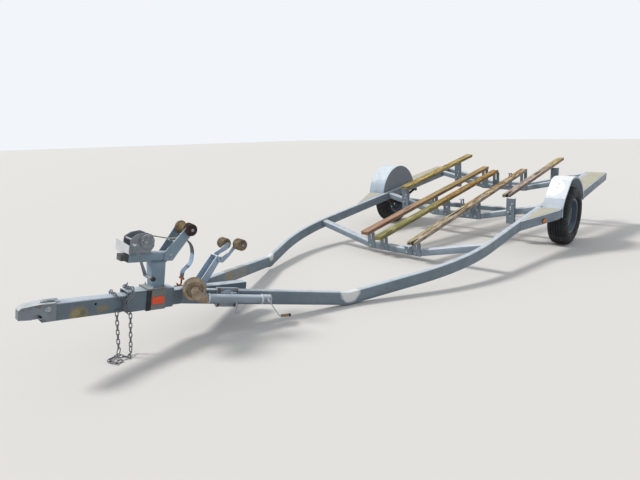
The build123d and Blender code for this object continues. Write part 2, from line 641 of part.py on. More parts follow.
swivel = rod((JACK_PIVOT_S, 20.6, JACK_H), (JACK_PIVOT_S, 30, JACK_H), 46)
saddle = block(880, 984, 30, 42, JACK_H - 34, JACK_H + 34)
boss = rod((668, JACK_W + 20, JACK_H), (668, JACK_W + 36, JACK_H), 14)
shell = boss + rod((JACK_TUBE[0], JACK_W, JACK_H), (JACK_TUBE[1], JACK_W, JACK_H), 28.5)
cap = rod((650, JACK_W, JACK_H), (JACK_TUBE[0], JACK_W, JACK_H), 31)
put("jack_tube", JACK, (swivel + saddle + shell + cap) - rod((724, JACK_W, JACK_H), (1070, JACK_W, JACK_H), 25))
leg = rod((740, JACK_W, JACK_H), (1084, JACK_W, JACK_H), 24.9)
fork_bridge = block(1078, 1088, 36, 96, JACK_H - 26, JACK_H + 26)
prong = slab_xz([(1084, JACK_H - 26), (1112, JACK_H - 24), (1176, 8), (1182, 24), (1170, 38), (1152, 36),
                 (1084, JACK_H + 22)], 0, 5)
wheel_s, wheel_h = JACK_WHEEL
leg = leg + fork_bridge + Pos(0, 35, 0) * prong + Pos(0, 92, 0) * prong
leg = leg + disc_y(wheel_s, 35, 97, wheel_h, 6)
put("jack_leg", JACK, leg)
jack_wheel = turned_y(((-22, 6.6), (-22, 20), (-19, 28), (-19, 52), (-25, 60), (-25, 70), (-20, 73), (20, 73),
                       (25, 70), (25, 60), (19, 52), (19, 28), (22, 20), (22, 6.6)),
                      wheel_s, JACK_W, wheel_h)
put("jack_wheel", JACK, jack_wheel)
hub_pin = rod((668, JACK_W + 36, JACK_H), (668, JACK_W + 50, JACK_H), 9)
wire = rod((668, 110, JACK_H), (579, 110, -145), 4.5)
wire = wire + rod((579, 110, -145), (579, 150, -145), 6.5)
put("jack_crank", JACK, hub_pin + wire)

# Safety chains: links along routes in the trailer's own frame

LINK_PITCH = 29.4
LINK_WIRE = 3.0
LINK_HALF_W = 8.0


def chain_link():
    """One link, its length along X, of six-sided bar with mitred corners."""
    straight = LINK_PITCH / 2 + LINK_WIRE - LINK_HALF_W
    tip = straight + LINK_HALF_W
    quarter = [(straight, LINK_HALF_W), (tip, 0.45 * LINK_HALF_W)]
    right = quarter + [(x, -y) for x, y in reversed(quarter)]
    path = Polyline((0, LINK_HALF_W), *right, *[(-x, -y) for x, y in right], close=True)
    ring = Plane(origin=(0, LINK_HALF_W, 0), z_dir=(1, 0, 0)) * RegularPolygon(LINK_WIRE, 6)
    return sweep(ring, path=path, transition=Transition.RIGHT)


LINK = chain_link()


def front_point(x, y, h):
    return (FRONT * Pos(x, y, h)).position


def along(route, distance):
    """Point and direction at a distance along a list of points."""
    for a, b in zip(route, route[1:]):
        run = (b - a).length
        if distance <= run:
            return a + (b - a) * (distance / run), (b - a).normalized()
        distance -= run
    return None


def hang(name, route):
    count, distance = 0, LINK_PITCH / 2
    while True:
        found = along(route, distance)
        if found is None:
            return
        point, direction = found
        side = Vector(0, 0, 1) if abs(direction.Z) < 0.8 else Vector(0, 1, 0)
        across = direction.cross(side).normalized()
        normal = across.cross(direction)
        twist = radians(45 if count % 2 else -45)
        up = normal * cos(twist) + across * sin(twist)
        plane = Plane(origin=point, x_dir=direction, z_dir=up)
        put(name, Location(plane), LINK)
        count += 1
        distance += LINK_PITCH


LIE = 10.5               # height of a lying link's middle over what it lies on
BESIDE_TUBE = TONGUE_W / 2 + LIE + 2
BESIDE_SLEEVE = half + LIE + 2
# Each chain comes over the tongue from its far side, hangs down its near side and ends in a heap:
# points on the tongue in the front section's frame, then the heap's steps over the ground
CHAINS = (
    (((4664, -BESIDE_TUBE - 3, -70), (4660, -BESIDE_TUBE - 3, -4), (4656, -34, LIE + 5), (4650, 36, LIE + 6),
      (4642, BESIDE_TUBE + 4, -5), (4622, BESIDE_TUBE, -36), (4640, BESIDE_TUBE, -78),
      (4657, BESIDE_TUBE, -RAIL_H)), ((20, 10), (60, 40), (110, 10), (120, -40))),
    (((4560, -BESIDE_SLEEVE - 3, -60), (4562, -BESIDE_SLEEVE - 3, high - 4), (4566, -47, high + LIE + 8),
      (4570, 48, high + LIE + 6), (4574, BESIDE_SLEEVE + 9, high - 8), (4594, BESIDE_SLEEVE, -52),
      (4586, BESIDE_SLEEVE, low)), ((-10, 30), (20, 90), (80, 110))),
)
for over, heap in CHAINS:
    route = [front_point(*point) for point in over]
    last = route[-1]
    route.append(Vector(last.X + 6, last.Y + 4, 38))
    route += [Vector(last.X + dx, last.Y + dy, LIE if index else LIE + 6) for index, (dx, dy) in enumerate(heap)]
    hang("safety_chains", route)

for name, solids in nodes.items():
    export_step(Compound(solids), f"parts/{name}.step")

box = Compound([solid for solids in nodes.values() for solid in solids]).bounding_box()
print("nodes", len(nodes), "x", box.min.X, box.max.X, "y", box.min.Y, box.max.Y, "z", box.min.Z, box.max.Z)
print("strap radii", [round(radius) for radius in RADII])
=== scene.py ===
"""A weathered single-axle boat trailer, creased at both front rails, on a plain pale floor."""
from functools import partial
from math import atan2, copysign, cos, hypot, pi, radians, sin, tan

import bmesh
import bpy
from mathutils import Matrix, Vector, noise


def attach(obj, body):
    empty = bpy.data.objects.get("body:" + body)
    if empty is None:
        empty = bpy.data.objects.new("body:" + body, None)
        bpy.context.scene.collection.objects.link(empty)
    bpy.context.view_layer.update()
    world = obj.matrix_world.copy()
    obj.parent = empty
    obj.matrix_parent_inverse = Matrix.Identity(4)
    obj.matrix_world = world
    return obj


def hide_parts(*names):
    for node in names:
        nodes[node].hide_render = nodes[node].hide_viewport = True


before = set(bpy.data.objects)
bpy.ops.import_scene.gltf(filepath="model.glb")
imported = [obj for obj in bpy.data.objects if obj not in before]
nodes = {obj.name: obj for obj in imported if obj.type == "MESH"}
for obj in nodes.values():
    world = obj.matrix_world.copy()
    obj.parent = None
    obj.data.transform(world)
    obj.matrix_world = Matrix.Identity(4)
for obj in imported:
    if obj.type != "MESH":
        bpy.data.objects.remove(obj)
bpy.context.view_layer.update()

# The trailer's own frames, in metres. The rear frame is tipped nose-down about the axle, and the
# front section is folded up about the line through the two creases.
NOSE_DOWN = radians(7.714)
FOLD_UP = radians(17.03)
TOE_IN = radians(25.27)
AXLE_BACK = 1.81584
RAIL_TOP = 0.5199568
HALF_WIDTH = 1.031
RAIL_W = 0.050
RAIL_H = 0.100
CREASE_LEFT = Vector((3.120, 0.562936, 0))
CREASE_RIGHT = Vector((2.875, -0.67859, 0))
TYRE_R = 0.325
TRACK_HALF = 1.160

base = Matrix.Translation((-AXLE_BACK, 0, 0))
rear = base @ Matrix.Translation((0, 0, RAIL_TOP)) @ Matrix.Rotation(NOSE_DOWN, 4, "Y")
crease_axis = (CREASE_LEFT - CREASE_RIGHT).normalized()
fold = (Matrix.Translation(CREASE_LEFT) @ Matrix.Rotation(-FOLD_UP, 4, crease_axis)
        @ Matrix.Translation(-CREASE_LEFT))
front = rear @ fold
along_rail = front @ Matrix.Translation(CREASE_LEFT) @ Matrix.Rotation(-TOE_IN, 4, "Z")


# Material helpers

def colour(hex_code):
    """An sRGB hex colour as a linear RGBA value."""
    channels = [int(hex_code[i:i + 2], 16) / 255 for i in (1, 3, 5)]
    return [c / 12.92 if c <= 0.04045 else ((c + 0.055) / 1.055) ** 2.4 for c in channels] + [1.0]


def per_metre(millimetres):
    """Noise scale that gives a pattern of this size."""
    return 1000.0 / millimetres


def feed(tree, node, key, value):
    """Link a socket to an input, or set the input; a hex code becomes a linear colour."""
    if isinstance(value, bpy.types.NodeSocket):
        tree.links.new(value, node.inputs[key])
    else:
        node.inputs[key].default_value = colour(value) if isinstance(value, str) else value


def add_node(tree, kind, inputs=(), out=0, **settings):
    """Add a node with its settings and links, and give one of its outputs."""
    node = tree.nodes.new("ShaderNode" + kind)
    for key, value in settings.items():
        setattr(node, key, value)
    for key, value in inputs.items() if isinstance(inputs, dict) else enumerate(inputs):
        feed(tree, node, key, value)
    return node.outputs[out]


# Settings that the patterns below share
SMOOTH = {"interpolation_type": "SMOOTHSTEP"}
COLOURS = {"data_type": "RGBA", "out": 2}
TIMES = {"operation": "MULTIPLY", "use_clamp": True}
GREATER = {"operation": "MAXIMUM", "use_clamp": True}
SCALE_AND_ADD = {"operation": "MULTIPLY_ADD"}
# The marks with this ragged edge are stains and painted highlights.
MARK_EDGE_GRAIN = 250        # millimetres of ragged edge per metre of a stain's radius


class Finish:
    """A material under construction: colours laid over each other through masks."""

    def __init__(self, name):
        self.material = bpy.data.materials.new(name)
        self.material.use_nodes = True
        self.shader = self.material.node_tree.nodes["Principled BSDF"]
        self.add = partial(add_node, self.material.node_tree)
        self.place = self.add("TexCoord", out="Object")

    def mask(self, *parts):
        """The product of its parts: sockets, numbers, or patterns.

        A pattern comes with the two values that its soft step runs between, and with the two
        levels that it gives there where these aren't 0 and 1."""
        whole = None
        for part in parts:
            if isinstance(part, tuple):
                part = self.add("MapRange", part, **SMOOTH)
            whole = part if whole is None else self.add("Math", (whole, part), **TIMES)
        return whole

    def coat(self, under, over, *parts):
        """Lay one colour over another where the mask made of the parts is 1."""
        return self.add("Mix", {0: self.mask(*parts), 6: under, 7: over}, **COLOURS)

    def grain(self, size, detail=4.0, rough=0.55, stretch=(1, 1, 1), turn=(0, 0, 0)):
        """Noise whose features are about this many millimetres wide."""
        wide = tuple(1 / share for share in stretch)
        spot = self.add("Mapping", {"Vector": self.place, "Scale": wide, "Rotation": turn},
                        vector_type="TEXTURE")
        return self.add("TexNoise", {"Vector": spot, "Scale": per_metre(size), "Detail": detail,
                                     "Roughness": rough}, out="Fac")

    def near(self, point, radius, ragged=0.3):
        """1 at a point of the trailer and 0 past the radius, with a ragged edge."""
        gap = self.add("VectorMath", (self.place, tuple(point)), out="Value", operation="DISTANCE")
        uneven = self.grain(radius * MARK_EDGE_GRAIN, 5.0, 0.7)
        edge = self.add("Math", (uneven, radius * ragged * 2, gap), **SCALE_AND_ADD)
        return self.mask((edge, radius * (1.05 + ragged), radius * (0.75 + ragged)))

    def slit(self, point, half):
        """1 inside a long patch with these half widths around a point of the trailer, else 0."""
        gap = self.add("VectorMath", (self.place, tuple(point)), operation="SUBTRACT")
        share = self.add("VectorMath", (gap, half), operation="DIVIDE")
        reach = self.add("VectorMath", (share,), out="Value", operation="LENGTH")
        edge = self.add("Math", (self.grain(25, 4.0), 0.8, reach), **SCALE_AND_ADD)
        return self.mask((edge, 1.45, 1.20))

    def facing(self, axis, low, high):
        """How far the surface faces along an axis of the trailer, 0 to 1."""
        normal = self.add("NewGeometry", out="Normal")
        return self.mask((self.add("SeparateXYZ", (normal,), out=axis), low, high))

    def worn_edge(self, width):
        """1 along sharp edges, for a wear of this many millimetres."""
        soft = self.add("Bevel", {"Radius": width / 1000}, samples=4)
        sharp = self.add("NewGeometry", out="Normal")
        agree = self.add("VectorMath", (soft, sharp), out="Value", operation="DOT_PRODUCT")
        return self.mask((agree, 0.97, 0.80))

    def done(self, base_colour, roughness, reliefs=(), metallic=0.0):
        """Join it all to the shader; each relief is a pattern and its depth in millimetres."""
        normal = None
        for height, depth in reliefs:
            inputs = {"Height": height, "Distance": depth / 1000, "Strength": 1.0}
            if normal is not None:
                inputs["Normal"] = normal
            normal = self.add("Bump", inputs)
        for key, value in (("Base Color", base_colour), ("Roughness", roughness),
                           ("Metallic", metallic), ("Normal", normal)):
            if value is not None:
                feed(self.material.node_tree, self.shader, key, value)
        return self.material


MOTTLE = 0.90            # how dark the darker patches of the enamel are


def weathered_enamel(name, paint, chalk_and_highlight, rust="#6d4630", rusty=0.62, marks=(), painted_shade=None):
    """Sprayed enamel on steel, paler on top from sun chalking and a painted sunlit highlight, with
    stone chips, rust specks and dirt.

    marks are extra stains and painted highlights: (point, radius in metres, hex colour,
    strength); painted_shade is the colour of painted shade on the faces that look to the trailer's
    left."""
    f = Finish(name)
    dark = "#%02x%02x%02x" % tuple(int(int(paint[i:i + 2], 16) * MOTTLE) for i in (1, 3, 5))
    skin = f.coat(dark, paint, (f.grain(140, 5.0), 0.30, 0.70))
    # Up-facing faces paler: partly sun chalking, partly a painted sunlit highlight.
    skin = f.coat(skin, chalk_and_highlight, f.facing("Z", 0.35, 0.9), (f.grain(60, 5.0), 0.2, 0.6, 0.6, 1.0))
    streaks = f.grain(22, 6.0, 0.65, (1, 1, 0.12))
    skin = f.coat(skin, "#8f8a7c", (streaks, 0.52, 0.78), f.facing("Z", 0.6, 0.1), 0.35)
    # Painted shade on the faces that look to the trailer's left.
    if painted_shade:
        skin = f.coat(skin, painted_shade, f.facing("Y", 0.75, 0.95))
    # Marks are stains, and painted highlights where they are listed as such.
    for point, radius, tint, strength in marks:
        skin = f.coat(skin, tint, f.near(point, radius), strength)
    skin = f.coat(skin, "#c9ccca", (f.grain(7, 3.0, 0.6), 0.70, 0.76), 0.5)
    specks = f.mask((f.grain(16, 6.0, 0.7), rusty, rusty + 0.10), (f.grain(260, 3.0), 0.42, 0.6))
    wear = f.mask(f.worn_edge(5), (f.grain(30, 5.0), 0.46, 0.6))
    rusted = f.add("Math", (specks, wear), **GREATER)
    skin = f.coat(skin, rust, rusted)
    gloss = f.mask((f.grain(90, 4.0), 0.3, 0.7, 0.42, 0.62))
    rough = f.add("Math", (gloss, f.mask(rusted, 0.88)), **GREATER)
    return f.done(skin, rough, ((f.grain(3, 2.0), 0.15), (rusted, 0.4)))


def dull_zinc(name, tone="#9aa1a6", light="#c3c9cd", spots="#7b6a58"):
    """Hot-dip galvanised steel: frosted spangle, chalky grey, with a little brown staining."""
    f = Finish(name)
    cells = f.add("TexVoronoi", {"Vector": f.place, "Scale": per_metre(14)}, out="Color")
    skin = f.coat(tone, light, (f.add("SeparateColor", (cells,)), 0.0, 1.0, 0.15, 0.75))
    skin = f.coat(skin, "#868b8e", (f.grain(70, 5.0), 0.50, 0.75, 0.0, 0.7))
    tint = f.mask((f.grain(26, 6.0, 0.7), 0.62, 0.74))
    skin = f.coat(skin, spots, tint)
    rough = f.mask((f.grain(40, 4.0), 0.3, 0.7, 0.42, 0.68))
    return f.done(skin, rough, ((f.grain(5, 3.0), 0.2),), f.mask((tint, 0.0, 1.0, 0.55, 0.05)))


def bare_rusty_steel(name, dark="#2b2624", rust="#6b4630", share=0.55):
    """Black-oxide steel that has started to rust: brown bloom over dark scale."""
    f = Finish(name)
    overlay = f.mask((f.grain(20, 7.0, 0.7), share - 0.1, share + 0.12))
    skin = f.coat(dark, rust, overlay)
    skin = f.coat(skin, "#8c6a4c", (f.grain(4, 3.0), 0.55, 0.75, 0.0, 0.5))
    return f.done(skin, f.mask((overlay, 0.0, 1.0, 0.5, 0.9)), ((f.grain(3, 4.0, 0.7), 0.5),),
                  f.mask((overlay, 0.0, 1.0, 0.6, 0.0)))


def weathered_board(name, light, body, dark, front_light, front_body, moss="#7d8044", mossy=0.60,
                    side="#6b6152", slope=0.0, meet=(-1.6, -0.6), bright="#e3d8ac", flecks=0.8,
                    stripe=None, shadowed_slits=()):
    """Softwood plank left outdoors: raised grain along its length, silvered, with algae.

    The tone changes along the plank, from its rear to its front, between the two x of meet. The
    flecks are bleached splinters, drawn 15 mm wide, coarser than the real ones, so that they show.
    stripe is the y from which a paler face has split open, and its colour; side is the colour of
    painted shade on the faces that look to the trailer's left; shadowed_slits are cracks painted
    near-black as painted shadow."""
    f = Finish(name)
    turn = (0, NOSE_DOWN + slope, 0)
    fine = f.grain(5, 6.0, 0.65, (0.02, 1, 1), turn)
    wide = f.grain(24, 4.0, 0.6, (0.05, 1, 1), turn)
    fleck = f.grain(15, 6.0, 0.7, (0.11, 1, 1), turn)
    along = f.add("SeparateXYZ", (f.place,), out="X")
    blotch = f.add("Math", (f.grain(300, 3.0), 0.9, along), **SCALE_AND_ADD)
    ahead = f.mask((blotch, meet[0] + 0.45, meet[1] + 0.45))
    pale = f.coat(light, front_light, ahead)
    skin = f.coat(dark, f.coat(body, front_body, ahead), (wide, 0.34, 0.58))
    skin = f.coat(skin, pale, (fine, 0.46, 0.64, 0.0, 0.8))
    skin = f.coat(skin, dark, (fine, 0.42, 0.34, 0.0, 0.7))
    skin = f.coat(skin, bright, (fleck, 0.545, 0.60, 0.0, flecks))
    skin = f.coat(skin, dark, (fleck, 0.445, 0.39, 0.0, flecks))
    bleached = f.grain(45, 5.0, 0.6, (0.2, 1, 1), turn)
    skin = f.coat(skin, pale, f.facing("Z", 0.6, 0.9), (bleached, 0.45, 0.7), 0.55)
    algae = f.grain(120, 6.0, 0.65, (0.5, 1, 1))
    skin = f.coat(skin, moss, (algae, mossy, mossy + 0.12), f.facing("Z", 0.2, 0.7), 0.75)
    if stripe:
        across = f.add("SeparateXYZ", (f.place,), out="Y")
        ragged = f.add("Math", (wide, 0.03, across), **SCALE_AND_ADD)
        split_face = f.coat(dark, stripe[1], (fleck, 0.42, 0.58))
        skin = f.coat(skin, split_face, (ragged, stripe[0] + 0.012, stripe[0] + 0.018, 0.0, 0.75))
    # Painted shade on the faces that look to the trailer's left.
    skin = f.coat(skin, side, f.facing("Y", 0.6, 0.9), (wide, 0.3, 0.6, 0.75, 0.35))
    skin = f.coat(skin, dark, f.facing("X", 0.85, 0.97), 0.5)
    # Painted shadow: the cracks are drawn near-black where the mesh has no gap.
    for point, half in shadowed_slits:
        skin = f.coat(skin, "#1d1813", f.slit(rear @ Vector(point), half))
    return f.done(skin, 0.88, ((fine, 0.9), (f.grain(2.5, 3.0), 0.3)))


def tread_rubber(name, dark="#15171b", dust="#3c3e44"):
    """Carbon-black rubber, greyed by dust that lies in the grooves."""
    f = Finish(name)
    skin = f.coat(dark, dust, (f.grain(90, 6.0, 0.6), 0.45, 0.75, 0.0, 0.55))
    skin = f.coat(skin, "#3a3a3b", (f.grain(9, 4.0), 0.55, 0.8, 0.0, 0.3))
    return f.done(skin, f.mask((f.grain(60, 4.0), 0.3, 0.7, 0.62, 0.9)), ((f.grain(2, 3.0), 0.25),))


def aged_rubber(name, face="#8b7355", dark="#4c3b2b", rim="#a1602f", rims=0.5):
    """Amber keel-roller rubber, chalked and crazed, rust-stained where it rubs its bracket.

    The crazing is drawn 11 mm wide, coarser than the real one, so that it shows."""
    f = Finish(name)
    skin = f.coat(dark, face, (f.grain(28, 6.0, 0.65), 0.35, 0.66))
    skin = f.coat(skin, rim, (f.grain(50, 3.0), 0.5, 0.75, 0.0, rims))
    skin = f.coat(skin, rim, f.worn_edge(6), 0.6)
    crack = f.add("TexVoronoi", {"Vector": f.place, "Scale": per_metre(11)}, out="Distance",
                  feature="DISTANCE_TO_EDGE")
    skin = f.coat(skin, dark, (crack, 0.0, 0.06, 1.0, 0.0), 0.5)
    return f.done(skin, 0.85, ((f.mask((crack, 0.0, 0.08)), 0.5),))


def moulded_plastic(name, face, dark, roughness=0.55):
    """Injection-moulded plastic, faded and scuffed."""
    f = Finish(name)
    skin = f.coat(dark, face, (f.grain(35, 5.0), 0.4, 0.7))
    skin = f.coat(skin, dark, (f.grain(6, 4.0), 0.62, 0.8, 0.0, 0.5))
    return f.done(skin, roughness, ((f.grain(2, 2.0), 0.12),))


def lens(name, face, deep, cell=6.0):
    """Moulded acrylic lamp lens: clear gloss over prisms, coarser than real so that they show."""
    f = Finish(name)
    cells = f.add("TexVoronoi", {"Vector": f.place, "Scale": per_metre(cell), "Randomness": 0.0},
                  out="Distance", distance="CHEBYCHEV")
    skin = f.coat(face, deep, (cells, 0.0, 0.6))
    skin = f.coat(skin, "#8a7f70", (f.grain(30, 4.0), 0.55, 0.8, 0.0, 0.25))
    f.shader.inputs["Coat Weight"].default_value = 0.5
    return f.done(skin, 0.22, ((cells, 0.4),))


def grit_pad(name):
    """Peel-and-stick non-skid pad: beige mineral grit with fine pressed lines across it.

    The grit is drawn 2.5 mm wide, coarser than the real one, so that it shows."""
    f = Finish(name)
    grit = f.grain(2.5, 3.0, 0.7)
    lines = f.add("TexWave", {"Vector": f.place, "Scale": per_metre(12) / (2 * pi),
                              "Distortion": 0.3}, out="Fac", bands_direction="X")
    skin = f.coat("#aba795", "#d6d2c2", (grit, 0.35, 0.7))
    skin = f.coat(skin, "#8b8677", (lines, 0.75, 0.95, 0.0, 0.4))
    skin = f.coat(skin, "#8f8876", (f.grain(160, 5.0), 0.5, 0.8, 0.0, 0.5))
    return f.done(skin, 0.95, ((grit, 0.8), (lines, 0.6)))


def marks_on(section, *rows):
    """Stains and painted highlights: their spots in a section's frame, radius in metres, hex colour
    and strength.
    """
    return [(section @ Vector(spot), *looks) for spot, *looks in rows]


# The two pale blue patches on the hanging loop are painted sunlit highlights; the olive and brown
# ones are stains.
STRAP_HIGHLIGHTS_AND_STAINS = marks_on(
    front,
    ((4.160, 0, 0.185), 0.050, "#a7c3e6", 0.85),
    ((4.205, 0, 0.118), 0.030, "#86a6cc", 0.7),
    ((4.310, 0, 0.332), 0.055, "#8b8a6c", 0.75),
    ((4.440, 0, 0.350), 0.050, "#5f4f42", 0.7))


def woven_webbing(name):
    """Polyester winch webbing: black twill faded blue-grey by the sun, with olive and brown stains,
    and painted sunlit highlights in pale blue on its hanging loop.
    """
    f = Finish(name)
    across = f.add("Mapping", {"Vector": f.add("TexCoord", out="UV"), "Scale": (420.0, 16.0, 1.0),
                               "Rotation": (0, 0, 0.35)})
    weave = f.add("TexWave", {"Vector": across, "Scale": 1.0, "Distortion": 0.4}, out="Fac",
                  bands_direction="DIAGONAL")
    skin = f.coat("#15161b", "#33363f", (weave, 0.3, 0.8))
    skin = f.coat(skin, "#6c7b90", (f.grain(70, 4.0), 0.45, 0.75, 0.0, 0.4))
    # Painted highlights and stains.
    for point, radius, overlay, strength in STRAP_HIGHLIGHTS_AND_STAINS:
        skin = f.coat(skin, overlay, f.near(point, radius), strength)
    f.shader.inputs["Sheen Weight"].default_value = 0.3
    return f.done(skin, 0.8, ((weave, 0.5),))


# Finishes

WHITE_FLAKE = "#e9ebea"
rail_marks = marks_on(
    front,
    (CREASE_LEFT, 0.085, WHITE_FLAKE, 0.8),
    (CREASE_RIGHT, 0.075, WHITE_FLAKE, 0.8),
    ((3.42, -0.371, -0.055), 0.110, "#8d897f", 0.55),
    ((3.60, -0.287, -0.055), 0.120, "#8d897f", 0.6),
    ((3.630, -0.272, -0.040), 0.034, "#8f8440", 0.8))
tongue_marks = marks_on(
    front,
    ((4.868, 0.038, -0.086), 0.060, "#877b50", 0.65),
    ((4.884, 0.038, -0.072), 0.026, "#9a8f62", 0.5),
    ((4.846, 0.038, -0.070), 0.018, "#5e5544", 0.6),
    ((4.868, 0.038, -0.094), 0.016, "#6a5c40", 0.5),
    ((4.752, 0.038, -0.064), 0.022, "#8a7a48", 0.55),
    ((4.722, 0.038, -0.060), 0.020, "#8a7a48", 0.50))
# The large near-white patch on the near fender's middle panel is a painted highlight of sun glare;
# the small brownish grey ones are smears.
fender_glare_and_smears = marks_on(
    rear,
    ((0.270, 1.090, 0.185), 0.125, "#fbfcfd", 0.85),
    ((0.345, 1.150, 0.045), 0.012, "#8d857c", 0.5),
    ((0.290, 1.130, 0.120), 0.030, "#b9b4ae", 0.6),
    ((0.255, 1.135, 0.165), 0.026, "#a39a94", 0.6),
    ((0.225, 1.140, 0.205), 0.018, "#b5b0aa", 0.5))

# Each enamel's second colour is its chalk and painted sunlit highlight on up-facing faces.
frame_blue = weathered_enamel("frame_enamel", "#73828f", "#c3cdd6", marks=rail_marks)
member_blue = weathered_enamel("member_enamel", "#8494a3", "#c9d2da")
weld_steel = weathered_enamel("weld_enamel", "#68757f", "#9aa5ad", rusty=0.52)
tongue_blue = weathered_enamel("tongue_enamel", "#62727f", "#bfcad4", marks=tongue_marks)
fender_blue = weathered_enamel("fender_enamel", "#b4c2cf", "#f2f5f7", rusty=0.70,
                               marks=fender_glare_and_smears)
# The far fender's inner wall, which looks to the trailer's left, gets painted shade.
far_fender_blue = weathered_enamel("far_fender_enamel", "#a9bbcb", "#d3dee7", rusty=0.68,
                                   painted_shade="#767f88")
step_blue = weathered_enamel("step_enamel", "#7a8896", "#ccd3d8")
post_blue = weathered_enamel("stand_enamel", "#7d94a6", "#c9d4dc")
winch_grey = weathered_enamel("winch_enamel", "#858d96", "#bac1c6", rusty=0.58)
crank_grey = weathered_enamel("crank_enamel", "#79848d", "#a9b2b9", rusty=0.56)
cradle_blue = weathered_enamel("cradle_enamel", "#9fb4c8", "#eef2f5", rusty=0.60)
rim_blue = weathered_enamel("wheel_enamel", "#596979", "#7d8b98", rusty=0.58)
bracket_zinc = dull_zinc("bracket_zinc", "#8d979f", "#c5ccd1")
jack_zinc = weathered_enamel("jack_zinc", "#93a0ae", "#c6d1db", rusty=0.66)
jack_white = dull_zinc("bright_zinc", "#b4bec7", "#dce2e7", "#9a9284")
rusty_bolt = bare_rusty_steel("bolt_steel", "#8d8f90", "#8a4a30", 0.50)
coupler_grey = weathered_enamel("coupler_enamel", "#7c8790", "#cdd3d7", rusty=0.58)
grey_plastic = moulded_plastic("grip_plastic", "#9aa3a8", "#6c7377", 0.5)
cover_zinc = weathered_enamel("cover_enamel", "#e6e9ec", "#f4f6f7", "#a39a8c", 0.66)
chain_steel = bare_rusty_steel("chain_steel", "#6c727b", "#53463e", 0.66)
spring_steel = bare_rusty_steel("spring_steel", "#2a2725", "#6a452f", 0.50)
hub_steel = bare_rusty_steel("hub_steel", "#4a4a4c", "#6a4a36", 0.58)
hook_steel = bare_rusty_steel("hook_steel", "#3a2c22", "#b4602a", 0.45)
saddle_grey = weathered_enamel("saddle_enamel", "#77797a", "#a9adae", rusty=0.56)
tyre_rubber = tread_rubber("tyre_rubber")
bow_rubber = aged_rubber("bow_rubber", "#867452", "#564832", "#80602f", 0.25)
cradle_rubber = aged_rubber("cradle_rubber", "#82745c", "#544837", "#7a6044", 0.25)
end_rubber = aged_rubber("end_rubber", "#3a2327", "#1b1013", "#4a2a26", 0.3)
black_plastic = moulded_plastic("black_plastic", "#26272a", "#101012")
tan_plastic = moulded_plastic("wheel_plastic", "#b5a48e", "#8c7a65", 0.65)
plug_plastic = moulded_plastic("plug_plastic", "#55585a", "#3a3c3d", 0.6)
amber_lens = lens("amber_lens", "#e8a046", "#b8681e")
red_lens = lens("red_lens", "#a11a14", "#5a0b09")
orange_reflector = lens("orange_reflector", "#f4530e", "#d8440c", 4.0)
step_grit = grit_pad("step_grit")
webbing = woven_webbing("strap_webbing")
rolled_webbing = moulded_plastic("rolled_webbing", "#24262d", "#121318", 0.9)
# Each plank's side colour is painted shade on its left face.
BOARDS = {
    "bunk_1": weathered_board(
        "board_olive", "#cdb56c", "#9a8342", "#4a3d20", "#c4ae68", "#8f7a3e", mossy=0.56,
        side="#5e5230", slope=0.0427, flecks=0.9),
    "bunk_2": weathered_board(
        "board_pink", "#c0a674", "#98824e", "#5c4836", "#bd9b80", "#a3806a", mossy=0.74,
        side="#54423a", slope=0.0337, bright="#c9ab90", flecks=0.35),
    "bunk_3": weathered_board(
        "board_moss", "#c08f48", "#94652f", "#463a1e", "#b5ac74", "#8a8450", mossy=0.50,
        side="#5b5836", slope=0.0339, bright="#d6cf9c",
        shadowed_slits=(((1.68, -0.082, -0.043), (0.080, 0.010, 0.10)),)),
    "bunk_4": weathered_board(
        "board_brown", "#bf9650", "#936f38", "#4a3c26", "#cdbf9c", "#a08f68", mossy=0.60,
        side="#8f8377", slope=0.0434, flecks=0.85, stripe=(0.284, "#cbbcae"),
        shadowed_slits=(((0.89, 0.277, -0.012), (0.200, 0.013, 0.15)),
               ((1.80, 0.300, -0.052), (0.080, 0.010, 0.10)))),
    "bunk_5": weathered_board(
        "board_grey", "#cdb876", "#a8925a", "#4d4036", "#c4b3a4", "#9c897a", mossy=0.66,
        side="#756a60", slope=0.0339, meet=(-3.0, -2.6), bright="#ddd0c0",
        shadowed_slits=(((0.33, 0.642, 0.100), (0.110, 0.015, 0.15)),
               ((-0.62, 0.634, 0.132), (0.140, 0.013, 0.15)))),
}

NODE_FINISH = {
    frame_blue: ("rail_left", "rail_right", "cross_member_1", "cross_member_2", "cross_member_3",
                 "cross_member_4", "axle", "bunk_brackets"),
    tongue_blue: ("tongue_tube", "coupler", "tongue_sleeve"),
    fender_blue: ("fender_left",),
    far_fender_blue: ("fender_right",),
    step_blue: ("front_steps", "rear_steps"),
    post_blue: ("winch_post", "winch_arm", "bow_stop"),
    winch_grey: ("winch_frame",),
    saddle_grey: ("winch_saddle",),
    cradle_blue: ("cradle_stem", "cradle_arms"),
    rim_blue: ("rim_left", "rim_right"),
    bracket_zinc: ("bracket_bolts", "coupler_latch", "winch_crank"),
    jack_zinc: ("jack_bracket", "jack_tube", "jack_leg", "jack_crank"),
    cover_zinc: ("winch_cover",),
    chain_steel: ("safety_chains", "winch_drum"),
    spring_steel: ("springs",),
    hub_steel: ("hub_left", "hub_right"),
    hook_steel: ("strap_hook",),
    tyre_rubber: ("tyre_left", "tyre_right"),
    bow_rubber: ("bow_roller",),
    cradle_rubber: ("cradle_roller_left", "cradle_roller_right"),
    end_rubber: ("roller_bells",),
    black_plastic: ("saddle_band", "crank_grip"),
    plug_plastic: ("arm_plug",),
    tan_plastic: ("jack_wheel",),
    amber_lens: ("marker_lamps",),
    red_lens: ("tail_lamps",),
    orange_reflector: ("reflectors",),
    step_grit: ("step_pads",),
    webbing: ("winch_strap",),
}
node_finish = {name: material for material, names in NODE_FINISH.items() for name in names}
for name, material in {**node_finish, **BOARDS}.items():
    nodes[name].data.materials.clear()
    nodes[name].data.materials.append(material)


# Mesh helpers

